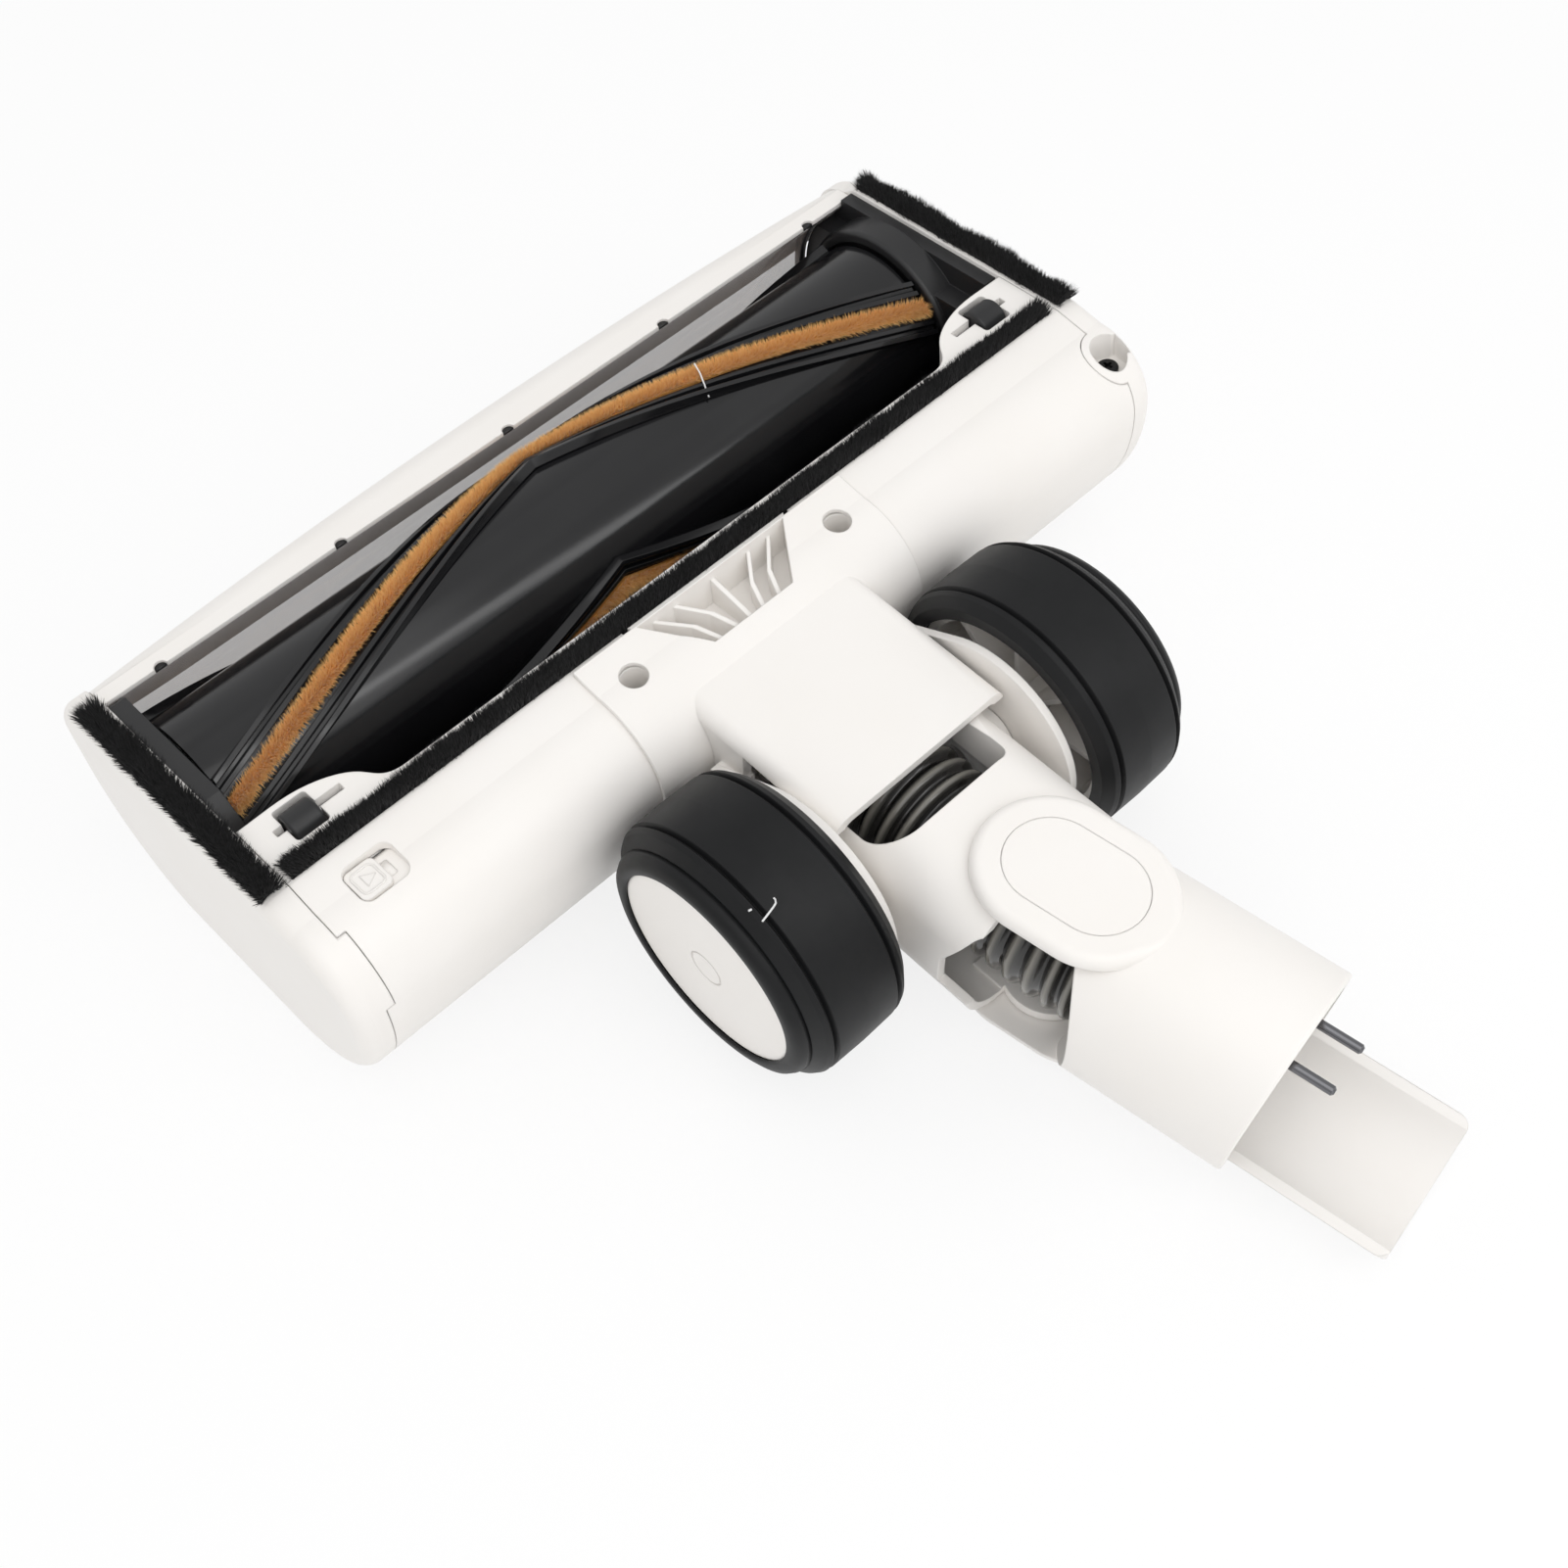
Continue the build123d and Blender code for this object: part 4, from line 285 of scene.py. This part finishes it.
# Plush on the roller: a dense short nap that leans a little to both sides
plush_low, plush_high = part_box("plush_strips")
roller_axis = Vector(joint("roller_spin")["pos_m"])
tip_r = (plush_high[2] - plush_low[2]) / 2
roller_mid = (plush_low[0] + plush_high[0]) / 2
roller_half = (plush_high[0] - plush_low[0]) / 2
NAP = 0.0024
NAP_WIDTH = 0.0027  # across the strip, at the fibres' roots
NAP_FAN = radians(52)  # how far the outer fibres lean
NAP_FIBRE = 0.0003  # thickness of a fibre
NAP_STATIONS = 40  # along each half strip
NAP_FOOT = 0.00005  # from the core to the foot of the strip
NAP_SHOULDER = 0.0008  # drop from the strip's top to its edges
NAP_CROWN = 0.0002  # rise of its middle
NAP_SUNK = 0.0002  # depth of the roots below the top
NAP_SAG = 0.0006  # further depth of the roots at the edges
PLUSH_FIBRES = 9800  # on each half strip


def roller_frame(apex, side, share):
    """Point on the roller's axis with the radial and round-going directions of a strip there."""
    angle = radians(apex + STRIP_TWIST * share)
    centre = Vector((roller_mid + side * roller_half * share, roller_axis.y, roller_axis.z))
    return centre, Vector((0, cos(angle), sin(angle))), Vector((0, -sin(angle), cos(angle)))


def plush_ring(apex, side, share):
    """Section of a strip under its fibres."""
    centre, out, around = roller_frame(apex, side, share)
    foot_r, nap_r = CORE_R + NAP_FOOT, tip_r - NAP
    shape = [(foot_r, -0.6), (nap_r - NAP_SHOULDER, -0.6), (nap_r, -0.3), (nap_r + NAP_CROWN, 0.0),
             (nap_r, 0.3), (nap_r - NAP_SHOULDER, 0.6), (foot_r, 0.6)]
    return [centre + out * r + around * (NAP_WIDTH * u) for r, u in shape]


# roots darker than tips: painted shade deep in the nap
nap = Fibres(dark=(0.74, 0.34, 0.08), light=(1.0, 0.70, 0.29))
for strip in range(STRIP_COUNT):
    apex = STRIP_APEX + strip * 360 / STRIP_COUNT
    for side in (-1, 1):
        nap.core([plush_ring(apex, side, i / NAP_STATIONS) for i in range(NAP_STATIONS + 1)])
        for _ in range(PLUSH_FIBRES):
            u = random.uniform(-1, 1)
            centre, out, around = roller_frame(apex, side, random.random())
            lean = NAP_FAN * u + random.uniform(-0.2, 0.2)
            root_r = tip_r - NAP - NAP_SUNK - NAP_SAG * u * u
            root = centre + out * root_r + around * (NAP_WIDTH / 2 * u)
            way = out * cos(lean) + around * sin(lean) + Vector((random.uniform(-0.3, 0.3), 0, 0))
            nap.spike(root, way.normalized(), NAP * random.uniform(0.72, 1.22), NAP_FIBRE)
plush_nap = nap.piece("plush_nap", plush)
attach(plush_nap, "roller")
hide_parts("plush_strips")


# Black pile along the sole
PILE_BASE = 0.0026  # from the strip's top down to the base of its fibres
PILE_INSET = 0.0009  # of the base inside the strip
PILE_HEIGHT = 0.0034
PILE_FIBRE = 0.00032  # thickness of a fibre


def pile_piece(name, node, along, wave, lift, spread, density):
    """Pile on a strip's base: its tips wave along the strip and lean outwards at its edges and ends."""
    low, high = (Vector(corner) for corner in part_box(node))
    across = 1 - along
    base_top = high.z - PILE_BASE
    # roots and base bar darker than the tips: painted shade deep in the pile
    bar = Fibres(dark=(0.004, 0.004, 0.004), light=(0.03, 0.03, 0.031))
    near, far = low[across] + PILE_INSET, high[across] - PILE_INSET
    rings = []
    for end in (low[along] + PILE_INSET, high[along] - PILE_INSET):
        ring = []
        for side, z in ((near, low.z), (far, low.z), (far, base_top), (near, base_top)):
            point = Vector((0, 0, z))
            point[along], point[across] = end, side
            ring.append(point)
        rings.append(ring if along == 0 else ring[::-1])
    bar.core(rings)
    length, width = high[along] - low[along], high[across] - low[across]
    for _ in range(int(length * width * 1e6 * density)):
        s, u = random.random(), random.uniform(-1, 1)
        tuft = sin(s * 61 + 3 * sin(s * 23)) * sin(s * 37 + 2 * u)
        root = Vector((0, 0, base_top - 0.0006 - 0.0014 * u ** 4))
        root[along] = low[along] + length * (0.003 + 0.994 * s)
        root[across] = (low[across] + high[across]) / 2 + u * (width / 2 - 0.0004)
        way = Vector((0, 0, 1))
        way[along] = random.uniform(-0.25, 0.25) + 0.8 * (2 * s - 1) ** 25
        sway = wave * sin(s * 23 + 1.5 * sin(s * 9))
        way[across] = spread * u ** 3 + random.uniform(-0.2, 0.2) + sway + 0.12 * tuft
        rise = lift * (0.55 + 0.45 * sin(s * 17 + 2))
        tall = PILE_HEIGHT + rise + 0.0003 * tuft + random.uniform(-0.0006, 0.0004)
        bar.spike(root, way.normalized(), tall, PILE_FIBRE)
    made = bar.piece(name, pile)
    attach(made, "head")
    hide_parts(node)


pile_piece("rear_pile", "rear_pile_strip", 0, 0.05, 0.0003, 0.30, 24)
pile_piece("left_pile", "left_pile_strip", 1, 0.10, 0.0010, 0.75, 36)
pile_piece("right_pile", "right_pile_strip", 1, 0.10, 0.0010, 0.45, 34)

# Corrugated hose in two stretches, bent where the neck tilts and where the wand socket swings
pivot = Vector(joint("wand_swing")["pos_m"])
axle = Vector(joint("neck_pitch")["pos_m"])
hose_start = Vector((0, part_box("flex_hose")[1][1], axle.z))
HOSE_SPLIT = hose_start.y - axle.y + 0.030  # distances along the hose
HOSE_BEND = 0.007  # half length of each bend
HOSE_SIDES = 48
HOSE_STEPS = 10  # rings of points to each corrugation
HOSE_GROOVE_SHADE = Vector((0.012, 0.011, 0.010))  # painted shade in the grooves
HOSE_RIDGE_HIGHLIGHT = Vector((0.22, 0.21, 0.185))  # painted highlight on the ridges


def ease(distance, middle):
    """Goes from 0 to 1 through a bend."""
    share = min(1.0, max(0.0, (distance - middle + HOSE_BEND) / (2 * HOSE_BEND)))
    return share * share * (3 - 2 * share)


def hose_line():
    """Centre of the hose with its sideways and upward directions, in small steps from its front end."""
    to_axle = hose_start.y - axle.y
    to_pivot = to_axle + (axle - pivot).length
    step = HOSE_PITCH / HOSE_STEPS
    place, line = hose_start.copy(), []
    for i in range(int(round(HOSE_LENGTH / step)) + 1):
        tilt, swing = NECK_TILT * ease(i * step, to_axle), WAND_SWING * ease(i * step, to_pivot)
        across = Vector((cos(swing), sin(swing) * cos(tilt), sin(swing) * sin(tilt)))
        above = Vector((0, -sin(tilt), cos(tilt)))
        line.append((i * step, place.copy(), across, above))
        place += across.cross(above) * step
    return line


def hose_piece(name, line):
    """Stretch of hose along some steps of its line."""
    verts, faces, colours = [], [], []
    for distance, centre, across, above in line:
        wave = 0.5 + 0.5 * cos(2 * pi * distance / HOSE_PITCH)
        radius = HOSE_R - HOSE_GROOVE * wave ** 1.6
        # ridges painted lighter as a highlight, grooves painted darker as shade
        colours += [HOSE_GROOVE_SHADE.lerp(HOSE_RIDGE_HIGHLIGHT, (1 - wave) ** 4)] * HOSE_SIDES
        for k in range(HOSE_SIDES):
            turn = 2 * pi * k / HOSE_SIDES
            verts.append(centre + across * (radius * cos(turn)) + above * (radius * sin(turn)))
    for i in range(len(line) - 1):
        for k in range(HOSE_SIDES):
            a, b = i * HOSE_SIDES + k, i * HOSE_SIDES + (k + 1) % HOSE_SIDES
            faces.append((a, b, b + HOSE_SIDES, a + HOSE_SIDES))
    made = mesh_piece(name, verts, faces, smoke_hose)
    paint_tone_and_light(made, colours)
    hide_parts("flex_hose")
    return made


whole_hose = hose_line()
split = next(i for i, ring in enumerate(whole_hose) if ring[0] >= HOSE_SPLIT)
hose_front = hose_piece("hose_front", whole_hose[:split + 1])
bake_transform(hose_front)
hose_rear = hose_piece("hose_rear", whole_hose[split:])
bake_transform(hose_rear)


# Small rigid forms on the wheels, the latch, the drive bracket and the bumper
def solid_piece(name, rings, finish, body, closed=False):
    """Solid through rings of points, the last ring joined to the first if closed."""
    count = len(rings[0])
    verts = [point for ring in rings for point in ring]
    faces = []
    for step in range(len(rings) if closed else len(rings) - 1):
        for i in range(count):
            a, b = step * count + i, step * count + (i + 1) % count
            shift = ((step + 1) % len(rings) - step) * count
            faces.append((a, b, b + shift, a + shift))
    if not closed:
        faces += [tuple(range(count)), tuple(range(len(verts) - count, len(verts)))]
    made = mesh_piece(name, verts, faces, finish)
    shell = bmesh.new()
    shell.from_mesh(made.data)
    bmesh.ops.recalc_face_normals(shell, faces=shell.faces)
    shell.to_mesh(made.data)
    shell.free()
    if body:
        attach(made, body)
    return made


RING_SIDES = 96


def wheel_ring(name, body, side, profile, finish):
    """Ring about the axle line from a half section of distances from mid-plane and axle, in millimetres."""
    turns = [2 * pi * k / RING_SIDES for k in range(RING_SIDES)]
    rings = [[Vector((side * x, axle.y * 1000 + r * cos(turn), axle.z * 1000 + r * sin(turn))) / 1000
              for x, r in profile] for turn in turns]
    solid_piece(name, rings, finish, body, closed=True)


# Bead of each tyre round its hub cap
TYRE_LIP = ((57.05, 25.9), (57.05, 29.2), (58.3, 29.1), (59.5, 28.3), (60.2, 26.9),
            (60.3, 25.3), (60.0, 24.7), (59.65, 24.6), (59.6, 25.0), (59.6, 25.9))
for side, body in ((-1, "left_wheel"), (1, "right_wheel")):
    wheel_ring(body + "_lip", body, side, TYRE_LIP, tread)

LATCH_AT = Vector((-0.1023, -0.0598, 0.0599))  # on the recess floor, under the middle of the button

# Flap that closes the slot beside the button
FLAP_START, FLAP_END = 0.00156, 0.00575  # from the stem to the end of the slot
FLAP_HALF, FLAP_LOW, FLAP_TOP = 0.00214, -0.0006, -0.00003
FLAP_STEPS = 8
FLAP = ((-FLAP_HALF, FLAP_LOW), (FLAP_HALF, FLAP_LOW), (FLAP_HALF, FLAP_TOP), (-FLAP_HALF, FLAP_TOP))
flap_rings = []
for i in range(FLAP_STEPS + 1):
    x = FLAP_START + (FLAP_END - FLAP_START) * i / FLAP_STEPS
    flap_rings.append([LATCH_AT + Vector((x, y, z)) for y, z in FLAP])
latch_flap = solid_piece("latch_flap", flap_rings, white_shell, None)
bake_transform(latch_flap)

# Raised frame on the button, round its four corners
FRAME_X, FRAME_Y = 0.0015, 0.0018  # from its middle to the corners' centres
FRAME_STEPS = 6
FRAME = ((0.0009, 0.0012), (0.0016, 0.0012), (0.00145, 0.00146), (0.00105, 0.00146))
frame_rings = []
for corner, (x, y) in enumerate(((1, 1), (-1, 1), (-1, -1), (1, -1))):
    for i in range(FRAME_STEPS + 1):
        turn = pi / 2 * (corner + i / FRAME_STEPS)
        way = Vector((cos(turn), sin(turn), 0))
        centre = LATCH_AT + Vector((x * FRAME_X, y * FRAME_Y, 0))
        frame_rings.append([centre + way * r + Vector((0, 0, z)) for r, z in FRAME])
solid_piece("latch_frame", frame_rings, white_shell, "latch", closed=True)

# Sill under the front edge of the latch recess
SILL = ((0.00485, -0.0012), (0.0056, -0.0012), (0.0056, 0.00005), (0.00485, 0.00005))
SILL_ENDS = (-0.003, 0.0072)
sill_rings = [[LATCH_AT + Vector((x, y, z)) for y, z in SILL] for x in SILL_ENDS]
solid_piece("latch_sill", sill_rings, white_shell, "head")

# Latch spring, pressed together by the slider
SPRING_R, SPRING_WIRE, SPRING_TURNS, SPRING_LENGTH = 0.0015, 0.0003, 5, 0.008
SPRING_START = LATCH_AT + Vector((0.0034, 0, -0.0031))
SPRING_STEPS = 24  # to each turn
WIRE = [(cos(k * pi / 4), sin(k * pi / 4)) for k in range(8)]  # section of the wire
coil_rings = []
for i in range(SPRING_TURNS * SPRING_STEPS + 1):
    turn = 2 * pi * i / SPRING_STEPS
    out = Vector((0, cos(turn), sin(turn)))
    along_x = SPRING_LENGTH * i / (SPRING_TURNS * SPRING_STEPS)
    middle = SPRING_START + Vector((along_x, 0, 0)) + out * SPRING_R
    coil_rings.append([middle + (out * c + Vector((s, 0, 0))) * SPRING_WIRE for c, s in WIRE])
latch_coil = solid_piece("latch_coil", coil_rings, steel, None)
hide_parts("latch_spring")
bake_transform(latch_coil)

# Edge of the drive bracket that closes the gap at the window's right end
EDGE = ((0.1041, 0.0298), (0.1059, 0.0298), (0.1059, 0.0319), (0.1041, 0.0319))  # X and radius
EDGE_START, EDGE_SWEEP = -30, 67  # degrees from +Y towards +Z
EDGE_STEPS = 24
edge_rings = []
for i in range(EDGE_STEPS + 1):
    turn = radians(EDGE_START + EDGE_SWEEP * i / EDGE_STEPS)
    edge_rings.append([roller_axis + Vector((x - roller_axis.x, r * cos(turn), r * sin(turn)))
                       for x, r in EDGE])
solid_piece("bracket_edge", edge_rings, satin_black, "head")

# Black floors of the half-round slots along the bumper's lip: painted shade where the slots open into the shadowed
# space behind
SLOT_PLACES = (-0.100, -0.050, 0.0, 0.050, 0.100)
SLOT_R = 0.00150
SLOT_Y = 0.02066  # on the lip's edge
SLOT_SHADE_HEIGHTS = (0.0600, 0.0606)
SLOT_STEPS = 12
turns = [pi * i / SLOT_STEPS for i in range(SLOT_STEPS + 1)]
for number, x in enumerate(SLOT_PLACES):
    shade_rings = [[Vector((x + SLOT_R * cos(turn), SLOT_Y + SLOT_R * sin(turn), z)) for turn in turns]
                   for z in SLOT_SHADE_HEIGHTS]
    solid_piece(f"slot_shade_{number + 1}", shade_rings, satin_black, "head")


# Stray hairs, as they lie in the photograph
HAIR = 0.00045  # thickness
HAIR_SIDES = 6


def hair(name, body, points, thickness):
    """Thin bent hair through some points."""
    verts, faces = [], []
    points = [Vector(point) for point in points]
    for i, point in enumerate(points):
        way = (points[min(i + 1, len(points) - 1)] - points[max(i - 1, 0)]).normalized()
        across = way.orthogonal().normalized()
        along = way.cross(across)
        for k in range(HAIR_SIDES):
            turn = 2 * pi * k / HAIR_SIDES
            verts.append(point + (across * cos(turn) + along * sin(turn)) * thickness / 2)
    for i in range(len(points) - 1):
        for k in range(HAIR_SIDES):
            a, b = i * HAIR_SIDES + k, i * HAIR_SIDES + (k + 1) % HAIR_SIDES
            faces.append((a, b, b + HAIR_SIDES, a + HAIR_SIDES))
    made = mesh_piece(name, verts, faces, lint)
    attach(made, body)


hair("tyre_hair", "left_wheel",
     ((-0.0546, -0.1262, 0.0622), (-0.0528, -0.1259, 0.0624), (-0.0509, -0.1255, 0.0625),
      (-0.0500, -0.1253, 0.0627), (-0.0496, -0.1247, 0.0630), (-0.0496, -0.1243, 0.0631)), HAIR)
hair("tyre_speck", "left_wheel", ((-0.0553, -0.1232, 0.0636), (-0.0546, -0.1233, 0.0635)), HAIR)
hair("roller_hair", "roller",
     ((0.0430, 0.0008, 0.0645), (0.0423, -0.0018, 0.0636), (0.0413, -0.0043, 0.0620),
      (0.0400, -0.0071, 0.0606)), HAIR)

# Camera
camera = bpy.data.objects.new("camera", bpy.data.cameras.new("camera"))
camera.data.lens = CAMERA_LENS
camera.data.sensor_width = CAMERA_SENSOR
camera.data.clip_start = 0.01
azimuth, elevation = radians(CAMERA_AZIMUTH), radians(CAMERA_ELEVATION)
right = Vector((cos(azimuth), sin(azimuth), 0))
back = Vector((sin(azimuth) * cos(elevation), -cos(azimuth) * cos(elevation), sin(elevation)))
axes = Matrix((right, back.cross(right), back)).transposed() @ Matrix.Rotation(radians(CAMERA_ROLL), 3, "Z")
camera.matrix_world = Matrix.Translation(CAMERA_PLACE) @ axes.to_4x4()
bpy.context.scene.collection.objects.link(camera)
bpy.context.scene.camera = camera

# Floor, white to the camera with a trace of the object's shadow
FLOOR_SIZE = 4.0
FLOOR_Z = -0.0002
FLOOR_SHADOW = 0.18
floor_corners = [(x * FLOOR_SIZE, y * FLOOR_SIZE, FLOOR_Z) for x, y in ((-1, -1), (1, -1), (1, 1), (-1, 1))]
floor = mesh_piece("floor", floor_corners, [(0, 1, 2, 3)], bpy.data.materials.new("floor"), smooth=False)
floor_finish = floor.data.materials[0]
floor_finish.use_nodes = True
floor_nodes, floor_links = floor_finish.node_tree.nodes, floor_finish.node_tree.links
floor_nodes["Principled BSDF"].inputs["Base Color"].default_value = (0.95, 0.95, 0.95, 1)
floor_nodes["Principled BSDF"].inputs["Roughness"].default_value = 0.9
white = floor_nodes.new("ShaderNodeEmission")
white.inputs["Color"].default_value = (1, 1, 1, 1)
path = floor_nodes.new("ShaderNodeLightPath")
seen = floor_nodes.new("ShaderNodeMath")
seen.operation = "MAXIMUM"
through = floor_nodes.new("ShaderNodeMath")
through.operation = "MAXIMUM"
share = floor_nodes.new("ShaderNodeMath")
share.operation = "MULTIPLY"
share.inputs[1].default_value = 1 - FLOOR_SHADOW
mix = floor_nodes.new("ShaderNodeMixShader")
floor_links.new(path.outputs["Is Glossy Ray"], through.inputs[0])
floor_links.new(path.outputs["Is Transmission Ray"], through.inputs[1])
floor_links.new(path.outputs["Is Camera Ray"], seen.inputs[0])
floor_links.new(through.outputs[0], seen.inputs[1])
floor_links.new(seen.outputs[0], share.inputs[0])
floor_links.new(share.outputs[0], mix.inputs[0])
floor_links.new(floor_nodes["Principled BSDF"].outputs[0], mix.inputs[1])
floor_links.new(white.outputs[0], mix.inputs[2])
floor_links.new(mix.outputs[0], floor_nodes["Material Output"].inputs["Surface"])

# Soft studio light
world = bpy.data.worlds.new("studio")
bpy.context.scene.world = world
world.use_nodes = True
WORLD_LIGHT = 0.74
sky = world.node_tree.nodes["Background"]
world_path = world.node_tree.nodes.new("ShaderNodeLightPath")
world_level = world.node_tree.nodes.new("ShaderNodeMapRange")
world_level.inputs["To Min"].default_value = WORLD_LIGHT
world_level.inputs["To Max"].default_value = 1.0
world.node_tree.links.new(world_path.outputs["Is Camera Ray"], world_level.inputs["Value"])
world.node_tree.links.new(world_level.outputs["Result"], sky.inputs["Strength"])
sky.inputs["Color"].default_value = (1, 1, 1, 1)


def softbox(name, place, aim, size, power, along=(1, 0, 0)):
    """A rectangular lamp that faces a point, its length in a given direction."""
    lamp = bpy.data.lights.new(name, "AREA")
    lamp.shape = "RECTANGLE"
    lamp.size, lamp.size_y = size
    lamp.energy = power
    holder = bpy.data.objects.new(name, lamp)
    away = (Vector(place) - Vector(aim)).normalized()
    across = (Vector(along) - away * away.dot(Vector(along))).normalized()
    facing = Matrix((across, away.cross(across), away)).transposed()
    holder.matrix_world = Matrix.Translation(place) @ facing.to_4x4()
    bpy.context.scene.collection.objects.link(holder)


MIDDLE = (0, -0.08, 0.03)
softbox("front", (-0.20, -0.50, 0.72), MIDDLE, (0.9, 0.9), 2.05)
softbox("key", (-0.35, 0.75, 1.0), MIDDLE, (0.9, 0.3), 0.5)
softbox("fill", (0.9, -0.5, 0.8), MIDDLE, (0.8, 0.8), 0.4)
softbox("top", (0.0, -0.1, 1.3), MIDDLE, (1.2, 1.2), 0.4)
softbox("streak", (0.20, -0.53, 0.43), (0, 0, 0.05), (0.62, 0.08), 0.42, along=(0.29, -0.15, -0.37))

bpy.context.scene.view_settings.view_transform = "Standard"
